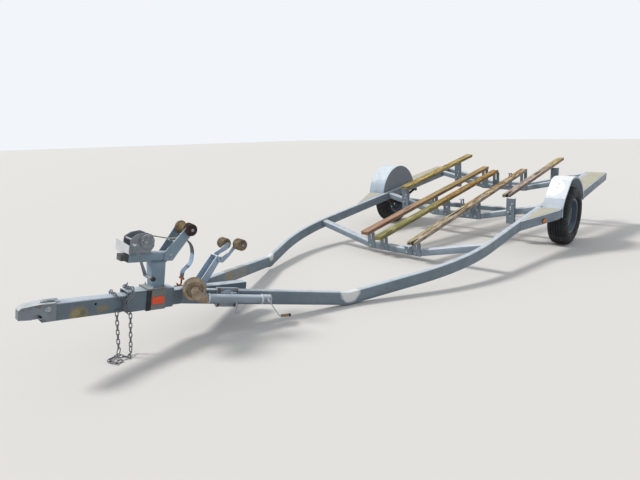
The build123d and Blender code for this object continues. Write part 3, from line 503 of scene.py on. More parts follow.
def keep(tools, name, material, place=rear, replaces=(), body="frame", smooth_deg=35):
    """Turn a bmesh, or a list of them, drawn in the frame of its place, into a piece on a body."""
    tool = gathered(tools) if isinstance(tools, list) else tools
    tool.transform(place)
    data = bpy.data.meshes.new(name)
    tool.to_mesh(data)
    tool.free()
    return keep_mesh(data, name, material, replaces, body, smooth_deg)


def keep_mesh(data, name, material, replaces=(), body="frame", smooth_deg=35):
    """Turn a mesh that lies in its place into a piece; its slot goes with its material."""
    data.materials.clear()
    data.materials.append(material)
    piece = bpy.data.objects.new(name, data)
    bpy.context.scene.collection.objects.link(piece)
    data.shade_smooth()
    data.set_sharp_from_angle(angle=radians(smooth_deg))
    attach(piece, body)
    if replaces:
        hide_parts(*replaces)
    return piece


def gathered(tools):
    """One bmesh made of several, each with its own transform already applied."""
    whole = bmesh.new()
    for tool in tools:
        part = bpy.data.meshes.new("part")
        tool.to_mesh(part)
        tool.free()
        whole.from_mesh(part)
        bpy.data.meshes.remove(part)
    return whole


def placed(tool, matrix):
    """The tool moved by a matrix, with its faces turned outwards again if the matrix mirrors."""
    tool.transform(matrix)
    if matrix.determinant() < 0:
        bmesh.ops.reverse_faces(tool, faces=tool.faces)
    return tool


def rounded(tool, edges, width, segments=2):
    """Round edges over by a width."""
    bmesh.ops.bevel(tool, geom=edges, offset=width, offset_type="OFFSET", affect="EDGES",
                    segments=segments, profile=0.5, material=-1, clamp_overlap=True)


def sharp_edges(tool, degrees=30):
    """The edges at which the surface turns by more than an angle."""
    return [edge for edge in tool.edges
            if len(edge.link_faces) == 2 and edge.calc_face_angle() > radians(degrees)]


def block(x0, x1, y0, y1, z0, z1, bevel=0.0, segments=2):
    """A box with softened edges."""
    tool = bmesh.new()
    bmesh.ops.create_cube(tool, size=1.0)
    bmesh.ops.scale(tool, vec=(x1 - x0, y1 - y0, z1 - z0), verts=tool.verts)
    bmesh.ops.translate(tool, vec=((x0 + x1) / 2, (y0 + y1) / 2, (z0 + z1) / 2), verts=tool.verts)
    if bevel:
        rounded(tool, tool.edges[:], bevel, segments)
    return tool


def slab(points, y0, y1, bevel=0.0, segments=2):
    """A plate with its outline in x and z, from y0 to y1, with softened edges."""
    tool = bmesh.new()
    face = tool.faces.new([tool.verts.new((x, y0, z)) for x, z in points])
    grown = bmesh.ops.extrude_face_region(tool, geom=[face])["geom"]
    bmesh.ops.translate(tool, vec=(0, y1 - y0, 0),
                        verts=[item for item in grown if isinstance(item, bmesh.types.BMVert)])
    bmesh.ops.recalc_face_normals(tool, faces=tool.faces)
    if bevel:
        rounded(tool, sharp_edges(tool), bevel, segments)
    return tool


def turned(profile, steps=48, closed=True):
    """A profile of (along, radius) points turned about the Y axis."""
    tool = bmesh.new()
    verts = [tool.verts.new((0, along, radius)) for along, radius in profile]
    pairs = list(zip(verts, verts[1:])) + ([(verts[-1], verts[0])] if closed else [])
    edges = [tool.edges.new(pair) for pair in pairs]
    bmesh.ops.spin(tool, geom=verts + edges, cent=(0, 0, 0), axis=(0, 1, 0), angle=2 * pi,
                   steps=steps, use_merge=True)
    bmesh.ops.remove_doubles(tool, verts=tool.verts, dist=1e-6)
    bmesh.ops.dissolve_degenerate(tool, edges=tool.edges, dist=1e-6)
    bmesh.ops.recalc_face_normals(tool, faces=tool.faces)
    return tool


def disc(y0, y1, radius, chamfer=0.001, steps=24):
    """A round bar or disc along Y with chamfered ends."""
    c = min(chamfer, radius * 0.4)
    return turned([(y0, 0), (y0, radius - c), (y0 + c, radius), (y1 - c, radius),
                   (y1, radius - c), (y1, 0)], steps, closed=False)


def bolt(place, head=0.010, height=0.007, washer=0.014, stub=0.0):
    """Hexagon head on its washer, standing along Z of its place, with a bevelled crown."""
    tool = bmesh.new()
    bmesh.ops.create_cone(tool, cap_ends=True, segments=6, radius1=head, radius2=head, depth=height,
                          matrix=Matrix.Translation((0, 0, height / 2 + 0.002)))
    top = [edge for edge in tool.edges if all(vert.co.z > height for vert in edge.verts)]
    rounded(tool, top, head * 0.16, 1)
    bmesh.ops.create_cone(tool, cap_ends=True, segments=20, radius1=washer, radius2=washer * 0.95,
                          depth=0.002, matrix=Matrix.Translation((0, 0, 0.001)))
    if stub:
        bmesh.ops.create_cone(tool, cap_ends=True, segments=12, radius1=head * 0.56,
                              radius2=head * 0.48, depth=stub,
                              matrix=Matrix.Translation((0, 0, height + stub / 2)))
    tool.transform(place)
    return tool


def facing_place(point, direction, spin=0.0):
    """A matrix to a point whose Z then points in a direction."""
    turn = Vector(direction).to_track_quat("Z", "Y").to_matrix().to_4x4()
    return Matrix.Translation(point) @ turn @ Matrix.Rotation(spin, 4, "Z")


def ring_of(tool, width, height, corner, per_corner, spare=0):
    """A rounded rectangle of edges: a circle whose quarters are moved apart.

    Its flats are cut into more edges by the spare cuts, so that they can buckle."""
    verts = bmesh.ops.create_circle(tool, segments=4 * per_corner, radius=corner)["verts"]
    bmesh.ops.rotate(tool, verts=verts, matrix=Matrix.Rotation(pi / (4 * per_corner), 3, "Z"))
    for vert in verts:
        vert.co.x += copysign(width / 2 - corner, vert.co.x)
        vert.co.y += copysign(height / 2 - corner, vert.co.y)
    if spare:
        flats = [edge for edge in tool.edges if edge.calc_length() > corner * 0.8]
        bmesh.ops.subdivide_edges(tool, edges=flats, cuts=spare)


def slide(tool, edges, direction, point, normal):
    """Extrude a ring of edges along a direction up to a plane, and give the new ring."""
    grown = bmesh.ops.extrude_edge_only(tool, edges=edges)["geom"]
    fresh = [item for item in grown if isinstance(item, bmesh.types.BMVert)]
    for vert in fresh:
        vert.co += direction * ((point - vert.co).dot(normal) / direction.dot(normal))
    mine = set(fresh)
    return fresh, [edge for edge in tool.edges if edge.verts[0] in mine and edge.verts[1] in mine]


def stand_ring(tool, start, direction, side, normal):
    """Stand the first ring up across a direction, its width along side, cut on a plane."""
    side = (side - direction * side.dot(direction)).normalized()
    up = direction.cross(side)
    tool.transform(Matrix.Translation(start) @ Matrix((side, up, direction)).transposed().to_4x4())
    for vert in tool.verts:
        vert.co += direction * ((start - vert.co).dot(normal) / direction.dot(normal))


def tube(path, width, height=None, corner=None, side=(0, 1, 0), per_corner=3, ends=(None, None)):
    """A bar bent along a path with mitred corners, its ends closed."""
    height = height or width
    corner = corner or width / 2 - 1e-5
    path = [Vector(point) for point in path]
    runs = [(b - a).normalized() for a, b in zip(path, path[1:])]
    cuts = [Vector(ends[0]) if ends[0] else runs[0]]
    cuts += [(a + b).normalized() for a, b in zip(runs, runs[1:])]
    cuts += [Vector(ends[1]) if ends[1] else runs[-1]]
    tool = bmesh.new()
    ring_of(tool, width, height, corner, per_corner)
    stand_ring(tool, path[0], runs[0], Vector(side), cuts[0])
    edges = tool.edges[:]
    for run, point, cut in zip(runs, path[1:], cuts[1:]):
        edges = slide(tool, edges, run, point, cut)[1]
    close_ends(tool)
    return tool


def close_ends(tool):
    """Cap the open ends of a tube, and give the caps."""
    open_edges = [edge for edge in tool.edges if edge.is_boundary]
    caps = bmesh.ops.holes_fill(tool, edges=open_edges)["faces"]
    bmesh.ops.recalc_face_normals(tool, faces=tool.faces)
    return caps


def bead(points, size=0.0035, step=0.005):
    """A weld bead along a line: a thin bar whose rings swell and shrink."""
    path = [Vector(points[0])]
    for point in points[1:]:
        start, stop = path[-1], Vector(point)
        count = max(2, int((stop - start).length / step))
        path += [start.lerp(stop, i / count) for i in range(1, count + 1)]
    direction = path[1] - path[0]
    side = Vector((0, 0, 1)) if abs(direction.normalized().z) < 0.8 else Vector((1, 0, 0))
    tool = tube(path, 2 * size, per_corner=2, side=side)
    for vert in tool.verts:
        near = min(path, key=lambda point: (point - vert.co).length_squared)
        ripple = 1.0 + 0.22 * noise.noise(near * 900) + 0.10 * noise.noise(vert.co * 700)
        vert.co = near + (vert.co - near) * ripple
    return tool


def softened(name, place, width, pick, material, steps=3, shape=None):
    """A copy of a CAD node with some of its long edges rounded as bent steel is."""
    tool = bmesh.new()
    tool.from_mesh(nodes[name].data)
    tool.transform(place.inverted())
    bmesh.ops.remove_doubles(tool, verts=tool.verts, dist=1e-5)
    bmesh.ops.dissolve_limit(tool, angle_limit=radians(0.5), verts=tool.verts, edges=tool.edges)
    chosen = [edge for edge in sharp_edges(tool, 25) if pick(edge.verts[0].co, edge.verts[1].co)]
    for vert in tool.verts if shape else ():
        vert.co = shape(vert.co)
    rounded(tool, chosen, width, steps)
    return keep(tool, name + "_formed", material, place, [name])


# Side rails: straight, curved in to the tongue, then kinked up at the crease

RAIL_REAR = -1.400
BEND_START = 1.653
BEND_RADIUS = 2.121      # of the outer edge
RAIL_CORNER = 0.009
RAIL_WALL = 0.0032
CURVE_STEPS = 22
TONGUE_HALF = 0.038
BUCKLE_REACH = 0.13      # how far from the crease the steel is buckled
BUCKLE_DEPTH = 0.0065
FLOOR_GAP = 0.0002       # the crumpled corner keeps this far above the floor
ahead_of_crease = crease_axis.cross(Vector((0, 0, 1)))


def rail(name, side):
    """A side rail of rectangular tube, open at its rear end, and buckled about its crease.

    The two planes of the mitre, behind and beyond, lean by half of the fold each."""
    middle = RAIL_W / 2
    crease = CREASE_LEFT if side > 0 else CREASE_RIGHT
    behind = ahead_of_crease * cos(FOLD_UP / 2) + Vector((0, 0, sin(FOLD_UP / 2)))
    beyond = ahead_of_crease * cos(FOLD_UP / 2) - Vector((0, 0, sin(FOLD_UP / 2)))
    centre = Vector((BEND_START, HALF_WIDTH - BEND_RADIUS, 0))
    tool = bmesh.new()
    ring_of(tool, RAIL_W, RAIL_H, RAIL_CORNER, 3, spare=3)
    forward = Vector((1, 0, 0))
    start = Vector((RAIL_REAR, side * (HALF_WIDTH - middle), -RAIL_H / 2))
    stand_ring(tool, start, forward, Vector((0, 1, 0)), forward)
    edges = tool.edges[:]
    direction = forward
    for i in range(CURVE_STEPS + 1):
        angle = TOE_IN * i / CURVE_STEPS
        point = centre + Vector((sin(angle), cos(angle), 0)) * (BEND_RADIUS - middle)
        point.y *= side
        edges = slide(tool, edges, direction, point, Vector((cos(angle), -side * sin(angle), 0)))[1]
        onward = TOE_IN * (i + 0.5) / CURVE_STEPS
        direction = Vector((cos(onward), -side * sin(onward), 0))
    direction = Vector((cos(TOE_IN), -side * sin(TOE_IN), 0))
    for gap in (-0.16, -0.08, -0.03):
        edges = slide(tool, edges, direction, crease + direction * gap, behind)[1]
    lip, edges = slide(tool, edges, direction, crease, behind)
    fresh, edges = slide(tool, edges, direction, crease, beyond)
    after = list(fresh)
    pairs = {vert: edge.other_vert(vert) for vert in fresh for edge in vert.link_edges
             if edge.other_vert(vert) in lip}
    for gap in (0.03, 0.08, 0.16, 0.45, 0.80):
        fresh, edges = slide(tool, edges, direction, crease + direction * gap, beyond)
        after += fresh
    tongue_side = Vector((0, side * TONGUE_HALF, 0))    # the rail's end is cut along the tongue
    after += slide(tool, edges, direction, tongue_side, Vector((0, 1, 0)))[0]
    bmesh.ops.transform(tool, matrix=fold, verts=after)
    for vert, other in pairs.items():
        other.co = (other.co + vert.co) / 2
    bmesh.ops.weld_verts(tool, targetmap=pairs)
    for vert in tool.verts:
        gap = abs((vert.co - crease).dot(ahead_of_crease))
        if gap < BUCKLE_REACH:
            buckle = noise.noise_vector(vert.co * 14 + Vector((side * 7, 0, 0)))
            vert.co += buckle * BUCKLE_DEPTH * (1 - gap / BUCKLE_REACH) ** 2
        sunk = FLOOR_GAP - (rear @ vert.co).z
        if sunk > 0:
            vert.co.z += sunk
    rear_cap = [cap for cap in close_ends(tool) if cap.calc_center_median().x < 0]
    bmesh.ops.inset_individual(tool, faces=rear_cap, thickness=RAIL_WALL, depth=0.0)
    bmesh.ops.inset_individual(tool, faces=rear_cap, thickness=0.0001, depth=-0.5)
    return keep(tool, name + "_tube", frame_blue, rear, [name], smooth_deg=32)


rail("rail_left", 1)
rail("rail_right", -1)

# Cross-members: square tube that dips so that a keel passes

CROSS_X = (1.702, 0.342, -1.138, -1.362)
CROSS_W = 0.076
CROSS_H = 0.064
CROSS_END_TOP = -0.012
CROSS_MID_TOP = -0.180
CROSS_FLAT = 0.290
INNER_FACE = HALF_WIDTH - RAIL_W

welds = []
for index, x in enumerate(CROSS_X, 1):
    reach = INNER_FACE - (0.002 if index == 1 else 0.0)
    low, high = CROSS_MID_TOP - CROSS_H / 2, CROSS_END_TOP - CROSS_H / 2
    way = [(x, -reach, high), (x, -CROSS_FLAT, low), (x, CROSS_FLAT, low), (x, reach, high)]
    tool = tube(way, CROSS_W, CROSS_H * 0.985, 0.008, side=(1, 0, 0), ends=((0, 1, 0), (0, 1, 0)))
    keep(tool, f"cross_member_{index}_tube", member_blue, rear, [f"cross_member_{index}"],
         smooth_deg=32)
    half, top, foot = CROSS_W / 2, CROSS_END_TOP, CROSS_END_TOP - CROSS_H
    for side in (-1, 1):
        y = side * (reach - 0.001)
        welds.append(bead([(x - half, y, foot), (x - half, y, top), (x + half, y, top),
                           (x + half, y, foot)]))
keep(welds, "cross_member_welds", weld_steel)


# Bunk planks: middle y, front x, rear x, top at the front, top at the rear, tilt, then their cracks

BOARD_W = 0.089
BOARD_T = 0.038
PLANKS = {
    "bunk_1": (-0.667, 0.470, -1.425, 0.123, 0.204, -5.0),
    "bunk_2": (-0.276, 1.865, -1.130, -0.016, 0.085, 0.0),
    "bunk_3": (-0.109, 1.870, -1.080, -0.050, 0.050, 0.0),
    "bunk_4": (0.285, 1.880, -1.113, -0.055, 0.075, 0.0),
    "bunk_5": (0.632, 0.400, -1.520, 0.098, 0.163, 6.0),
}
# Cracks along a plank: face, place across it, slant, from and to as shares of its length, depth
CRACKS = {
    "bunk_1": (("top", -0.018, 0.0030, 0.30, 0.95, 0.006),
               ("top", 0.021, -0.004, 0.05, 0.50, 0.004),
               ("side", -0.020, 0.002, 0.25, 0.80, 0.005)),
    "bunk_2": (("top", 0.010, 0.0040, 0.10, 0.62, 0.005),
               ("top", -0.024, 0.002, 0.50, 0.98, 0.006),
               ("side", -0.016, -0.002, 0.35, 0.95, 0.006)),
    "bunk_3": (("top", 0.022, -0.003, 0.15, 0.70, 0.006),
               ("top", -0.012, 0.004, 0.45, 1.00, 0.008),
               ("side", -0.022, 0.001, 0.10, 0.65, 0.005),
               ("top", -0.030, 0.001, 0.05, 0.40, 0.003)),
    "bunk_4": (("top", 0.005, 0.005, 0.55, 1.00, 0.014),
               ("top", -0.022, -0.004, 0.20, 0.85, 0.007),
               ("side", -0.014, 0.003, 0.40, 1.00, 0.012),
               ("side", -0.026, -0.001, 0.10, 0.75, 0.006)),
    "bunk_5": (("top", 0.014, 0.004, 0.20, 0.75, 0.009),
               ("top", -0.020, -0.003, 0.62, 1.00, 0.016),
               ("side", -0.019, 0.002, 0.45, 1.00, 0.010)),
}
# How far the front end is broken back
JAGGED = {"bunk_1": 0.008, "bunk_2": 0.010, "bunk_3": 0.012, "bunk_4": 0.085, "bunk_5": 0.030}
REAR_WORN = 0.006
ARRIS = 0.003
CRACK_HALF = 0.0013
ON_FACE = 0.0005         # a vertex this near to a flat face is on it


def board(name, seed):
    """A plank with worn arrises, raised grain, checks along the grain and broken end fibres."""
    middle, x_front, x_rear, top_front, top_rear, tilt = PLANKS[name]
    length = x_front - x_rear
    tool = block(0, length, -BOARD_W / 2, BOARD_W / 2, -BOARD_T, 0)
    rounded(tool, [edge for edge in tool.edges if edge.calc_length() > length * 0.9], ARRIS, 2)
    for size, way, count in ((length * 0.9, 0, int(length / 0.018)), (0.05, 1, 17), (0.02, 2, 6)):
        edges = [edge for edge in tool.edges
                 if abs((edge.verts[1].co - edge.verts[0].co)[way]) > size]
        bmesh.ops.subdivide_edges(tool, edges=edges, cuts=count, use_grid_fill=True)
    cuts = []
    for face, across, slant, start, stop, depth in CRACKS[name]:
        normal = Vector((slant, 1, 0) if face == "top" else (slant, 0, 1))
        spot = Vector((length / 2, across, 0) if face == "top" else (length / 2, 0, across))
        for gap in (-1, 0, 1):
            bmesh.ops.bisect_plane(tool, geom=tool.verts[:] + tool.edges[:] + tool.faces[:],
                                   dist=1e-5, plane_co=spot + normal * gap * CRACK_HALF,
                                   plane_no=normal)
        cuts.append((face, spot, normal, start * length, stop * length, depth))
    drift = Vector((seed * 13.7, seed * 5.1, 0))
    for vert in tool.verts:
        x, y, z = vert.co
        on_top = z > -ON_FACE
        on_side = abs(y) > BOARD_W / 2 - ON_FACE
        grain = noise.noise(Vector((x * 1.6, y * 150, z * 150)) + drift)
        swell = noise.noise(Vector((x * 4.0, y * 22, z * 22)) + drift)
        inward = 0.0009 * (grain + 1) + 0.0008 * (swell + 1)
        if on_top or z < -BOARD_T + ON_FACE:
            vert.co.z += inward if not on_top else -inward
        if on_side:
            vert.co.y -= copysign(inward, y)
        for face, spot, normal, start, stop, depth in cuts:
            if abs((Vector((x, y, z)) - spot).dot(normal)) < 2e-5 and start < x < stop:
                here = (x - start) / (stop - start)
                fade = min(1.0, here * 5, (1 - here) * 5 if stop < length else 1.0)
                broken = 0.55 + 0.6 * noise.noise(Vector((x * 9, seed, depth * 900)))
                if face == "top" and on_top:
                    vert.co.z -= depth * fade * max(0.15, broken)
                elif face == "side" and on_side:
                    vert.co.y -= copysign(depth * fade * max(0.15, broken), y)
        for end, sign, reach in ((length, 1, JAGGED[name]), (0.0, -1, REAR_WORN)):
            gap = abs(x - end)
            if gap < reach * 2.2:
                fibres = 0.5 + 0.5 * noise.noise(Vector((y * 95, z * 70, seed + end)))
                fibres += 0.35 * noise.noise(Vector((y * 330, z * 240, seed - end)))
                vert.co.x -= sign * reach * max(0.0, fibres) * (1 - gap / (reach * 2.2))
    slope = atan2(top_rear - top_front, length)
    lie = (rear @ Matrix.Translation((x_rear, middle, top_rear)) @ Matrix.Rotation(slope, 4, "Y")
           @ Matrix.Rotation(radians(tilt), 4, "X"))
    return keep(tool, name + "_plank", BOARDS[name], lie, [name], smooth_deg=40)


for seed, name in enumerate(PLANKS, 1):
    board(name, seed)


# Tyres, in their own frame: Y along the axle

OUTER_GROOVES = (0.026, 0.052)
GROOVE_DEPTH = 0.008
RIB_MIDDLES = (0.013, 0.039)
SHOULDER = (0.0650, 0.0925)
TYRE_STEPS = 144


def crown(y):
    """Radius of the tread at y."""
    return TYRE_R - 0.0042 * (y / 0.062) ** 2


def tyre(name, side):
    """Trailer tyre: five grooves, notched shoulders, sipes in the ribs, ringed walls and beads."""
    half = [(0.0, crown(0) - GROOVE_DEPTH), (0.0028, crown(0) - GROOVE_DEPTH),
            (0.0042, crown(0.0042))]
    for groove in OUTER_GROOVES:
        half += [(groove + gap, crown(groove) - sunk) for gap, sunk in (
            (-0.0045, 0.0), (-0.0028, GROOVE_DEPTH), (0.0028, GROOVE_DEPTH), (0.0045, 0.0))]
    half += [(0.0650, 0.3200), (0.0760, 0.3150), (0.0860, 0.3070), (0.0915, 0.2990),
             (0.0945, 0.2930), (0.0985, 0.2820), (0.1010, 0.2700), (0.1012, 0.2685),
             (0.1024, 0.2670), (0.1024, 0.2600), (0.1010, 0.2580), (0.1000, 0.2440),
             (0.0978, 0.2310), (0.0992, 0.2296), (0.0985, 0.2240), (0.0960, 0.2215),
             (0.0900, 0.2130), (0.0830, 0.2050), (0.0800, 0.2035), (0.0775, 0.2010),
             (0.0745, 0.1965), (0.0735, 0.1925), (0.0695, 0.1880), (0.0695, 0.1792)]
    inside = [(0.057, 0.1792), (0.060, 0.203), (0.087, 0.232), (0.088, 0.276), (0.060, 0.309)]
    outer = [(-y, r) for y, r in reversed(half[1:])] + half
    profile = outer + inside + [(-y, r) for y, r in reversed(inside)]
    tool = turned(profile, TYRE_STEPS)
    notches, sipes = [], []
    for face in tool.faces:
        spot = face.calc_center_median()
        radius = hypot(spot.x, spot.z)
        step = round(atan2(spot.x, spot.z) / (2 * pi) * TYRE_STEPS - 0.5)
        if SHOULDER[0] < abs(spot.y) < SHOULDER[1] and radius > 0.295 and step % 3 == 0:
            notches.append(face)
        from_rib = min(abs(abs(spot.y) - middle) for middle in RIB_MIDDLES)
        if from_rib < 0.004 and radius > 0.3195 and (step + (2 if spot.y > 0 else 0)) % 4 == 0:
            sipes.append(face)
    bmesh.ops.inset_region(tool, faces=notches, thickness=0.0025, depth=-0.0045,
                           use_even_offset=True)
    bmesh.ops.inset_individual(tool, faces=sipes, thickness=0.0022, depth=-0.0030)
    place = base @ Matrix.Translation((0, side * TRACK_HALF, TYRE_R))
    return keep(tool, f"{name}_tread", tyre_rubber, place, [name], name.replace("tyre", "wheel"),
                smooth_deg=28)


tyre("tyre_left", 1)
tyre("tyre_right", -1)


# Tongue, sleeve, coupler and winch stand: the long edges of the CAD's tubes rounded

SAME = 2e-4              # how near a vertex is to the measure that it was drawn to
COUPLER_HALF = 0.043
NOSE_START = 5.050       # from here the coupler's pressed nose narrows
NOSE_LENGTH = 0.115


def on_sides(a, b, half):
    """Whether both ends of an edge lie on the sides at plus or minus half."""
    return max(abs(abs(a.y) - half), abs(abs(b.y) - half)) < SAME


def along_x(half, low, high, least):
    """Picks a box tube's four outer corner edges."""
    def pick(a, b):
        return (abs(a.x - b.x) > least and on_sides(a, b, half) and abs(a.z - b.z) < 1e-3
                and min(abs(a.z - low), abs(a.z - high)) < SAME)
    return pick


def coupler_skin(a, b):
    """Picks the outer edges of the coupler's pressed top and nose."""
    rear_x, low = min(a.x, b.x), min(a.z, b.z)
    if a.y * b.y < 0:
        return rear_x > NOSE_START and low > -0.03
    front_corner = rear_x > NOSE_START + NOSE_LENGTH - 0.0005
    return (on_sides(a, b, COUPLER_HALF) and (low > -0.0245 or front_corner) and rear_x > 4.98
            and abs(a.x - b.x) + abs(a.z - b.z) > 0.01)


def narrowed(spot):
    """The coupler's pressed nose narrows to its front."""
    share = max(0.0, (spot.x - NOSE_START) / NOSE_LENGTH)
    drawn_back = 0.008 * share * abs(spot.y) / COUPLER_HALF
    return Vector((spot.x - drawn_back, spot.y * (1 - 0.45 * share ** 2), spot.z))


def post_corner(a, b):
    """Picks the winch post's four upright edges."""
    return abs(a.z - b.z) > 0.1 and on_sides(a, b, TONGUE_HALF) and abs(a.y - b.y) < 1e-4


def step_edge(a, b):
    """Picks the edges round a step's tread and down its corners."""
    on_top = min(a.z, b.z) > -ON_FACE
    corner = max(a.z, b.z) > -ON_FACE and hypot(a.x - b.x, a.y - b.y) < 1e-4
    return on_top or corner


SLEEVE_REAR, SLEEVE_FRONT = 4.300, 4.604
SLEEVE_HALF, SLEEVE_LOW, SLEEVE_TOP = 0.049, -0.106, 0.022
softened("tongue_tube", front, 0.008, along_x(TONGUE_HALF, -RAIL_H, 0.0, 0.5), tongue_blue)
softened("tongue_sleeve", front, 0.007, along_x(SLEEVE_HALF, SLEEVE_LOW, SLEEVE_TOP, 0.2),
         tongue_blue)
softened("coupler", front, 0.006, coupler_skin, coupler_grey, shape=narrowed)
lever = slab(((4.990, 0.0045), (5.062, 0.0045), (5.058, 0.0100), (5.036, 0.0145), (4.972, 0.0165),
              (4.966, 0.0125), (4.990, 0.0095)), -0.014, 0.014, 0.0022, 2)
keep(lever, "coupler_lever", bracket_zinc, front, ["coupler_latch"])
softened("winch_arm", front, 0.006, along_x(0.032, 0.195, 0.250, 0.2), post_blue)
softened("winch_post", front, 0.007, post_corner, post_blue)
for name in ("front_steps", "rear_steps"):
    softened(name, rear, 0.003, step_edge, step_blue, steps=2)

FILLET = 0.004
MEETING = CREASE_LEFT.x + (CREASE_LEFT.y - 0.040) / tan(TOE_IN)     # x of the rails at the tongue
front_welds = [bead([(x, -0.038, 0.001), (x, 0.038, 0.001)]) for x in (SLEEVE_REAR, SLEEVE_FRONT)]
front_welds += [
    bead([(4.357, -0.040, 0.0305), (4.357, 0.040, 0.0305), (4.444, 0.040, 0.0305),
          (4.444, -0.040, 0.0305), (4.357, -0.040, 0.0305)], FILLET),
    bead([(4.985, -0.030, 0.004), (4.985, 0.030, 0.004)], 0.003),
    bead([(4.984, 0.0395, -0.092), (4.984, 0.0395, -0.006)], 0.003),
]
for side in (-1, 1):
    for weld in (((4.366, 0.033, 0.1935), (4.366, 0.0385, 0.1935), (4.459, 0.0385, 0.1935),
                  (4.459, 0.033, 0.1935)),
                 ((4.061, 0.037, 0.001), (4.127, 0.037, 0.001)),
                 ((MEETING - 0.09, 0.040, 0.0005), (MEETING + 0.02, 0.040, 0.0005))):
        front_welds.append(bead([(x, side * y, h) for x, y, h in weld], FILLET))
keep(front_welds, "front_welds", weld_steel, front)


# Lamps: turned lenses on their bases; the rear ones are moulded blocks

SKIRT_TURN = atan2(0.209, 0.513)
marker_place = Matrix.Translation((0.710, 1.1565, -0.062)) @ Matrix.Rotation(-SKIRT_TURN, 4, "Z")
flip = Matrix.Scale(-1, 4, (0, 1, 0))
LENS_R = 0.0245
lens_profile = [(0.005, 0.0), (0.005, LENS_R), (0.0115, LENS_R), (0.0130, 0.0225)]
for ring in range(6):
    radius = 0.0205 - ring * 0.0032
    sunk = (radius / LENS_R) ** 2 * 0.005
    lens_profile += [(0.0185 - sunk, radius), (0.0173 - sunk, radius - 0.0010)]
lens_profile += [(0.0187, 0.0)]
base_profile = [(0.0, 0.0), (0.0, 0.0270), (0.0045, 0.0270), (0.0060, 0.0255), (0.0060, 0.0)]
for name, profile, material, replaced in (
        ("marker_lens", lens_profile, amber_lens, ["marker_lamps"]),
        ("marker_base", base_profile, black_plastic, ())):
    keep([placed(turned(profile, 40, closed=False), matrix @ marker_place)
          for matrix in (Matrix(), flip)], name, material, rear, replaced)

tail_lens, tail_base = [], []
for matrix in (Matrix(), flip):
    shell = block(-1.4255, -1.4015, 1.078, 1.202, -0.083, -0.019, 0.006, 3)
    tail_lens.append(placed(shell, matrix))
    backing = block(-1.4025, -1.3960, 1.075, 1.205, -0.086, -0.016, 0.002, 2)
    tail_base.append(placed(backing, matrix))
    for y in (1.090, 1.190):
        place = facing_place((-1.4250, y, -0.051), (-1, 0, 0))
        tail_base.append(placed(bolt(place, 0.003, 0.002, 0.004), matrix))
keep(tail_lens, "tail_lenses", red_lens, rear, ["tail_lamps"])
keep(tail_base, "tail_bases", black_plastic)

# Wheel valves
for name, side in (("left", 1), ("right", -1)):
    place = base @ Matrix.Translation((0, side * TRACK_HALF, TYRE_R))
    stem = turned([(0.0, 0.0), (0.0, 0.0080), (0.006, 0.0075), (0.010, 0.0045), (0.030, 0.0040),
                   (0.031, 0.0046), (0.040, 0.0046), (0.042, 0.003),
                   (0.042, 0.0)], 14, closed=False)
    angle = radians(22 if side > 0 else 140)
    spot = Vector((sin(angle) * 0.148, side * 0.018, cos(angle) * 0.148))
    stem = placed(stem, Matrix.Translation(spot) @ (Matrix() if side > 0 else flip))
    keep(stem, "valve_" + name, black_plastic, place, body="wheel_" + name)


# Winch: folded side plates, gear case, drum with its wound strap, crank and grip

WINCH_SIDE = ((4.482, 0.254), (4.607, 0.254), (4.608, 0.328), (4.598, 0.350), (4.566, 0.369),
              (4.512, 0.379), (4.476, 0.366), (4.455, 0.334), (4.456, 0.290))
DRUM = (4.520, 0.322)
GEAR = (4.508, 0.326)
DRIVE = (4.590, 0.306)
SPACERS = ((4.476, 0.344), (4.594, 0.336))
GRIP = (4.531, 0.134)
ROLLER_PIN = (4.233, 0.399)


def at_xh(spot):
    """A matrix to an x and height of the front section."""
    return Matrix.Translation((spot[0], 0, spot[1]))


plates = [slab(WINCH_SIDE, y, y + 0.004, 0.0012, 1) for y in (-0.044, 0.040)]
plates.append(block(4.460, 4.607, -0.044, 0.044, 0.2501, 0.254, 0.001, 1))
plates.append(block(4.6015, 4.6055, -0.0405, 0.0405, 0.2540, 0.292, 0.0012, 1))
for spot, reach in zip(SPACERS, (0.048, 0.0445)):
    plates.append(placed(disc(-reach, reach, 0.006, 0.001, 12), at_xh(spot)))
gear_case = [(0.0440, 0.0), (0.0440, 0.0470), (0.0452, 0.0482), (0.0470, 0.0476),
             (0.0474, 0.0440), (0.0545, 0.0425), (0.0572, 0.0400), (0.0580, 0.0360),
             (0.0578, 0.0260), (0.0560, 0.0240), (0.0560, 0.0150), (0.0590, 0.0130),
             (0.0590, 0.0)]
plates.append(placed(turned(gear_case, 64, closed=False), at_xh(GEAR)))
keep(plates, "winch_plates", winch_grey, front, ["winch_frame"])

# Bolts: half width of the head, its height, radius of the washer, length of the thread that shows
CASE_SCREW = (0.0040, 0.0035, 0.0052)
SHAFT_NUT = (0.0085, 0.006, 0.012, 0.003)
PLATE_BOLT = (0.0065, 0.005, 0.009, 0.004)
CLAMP_BOLT = (0.0065, 0.005, 0.009, 0.010)
ARM_BOLT = (0.0070, 0.005, 0.010, 0.003)
PIN_HEAD = (0.0085, 0.0065, 0.0105, 0.002)
COUPLER_BOLT = (0.0110, 0.0070, 0.0150, 0.003)


def bolt_at(x, y, h, size, upright=False):
    """A bolt of a size that faces up, or else away from the trailer's middle."""
    return bolt(facing_place((x, y, h), (0, 0, 1) if upright else (0, copysign(1, y), 0)), *size)


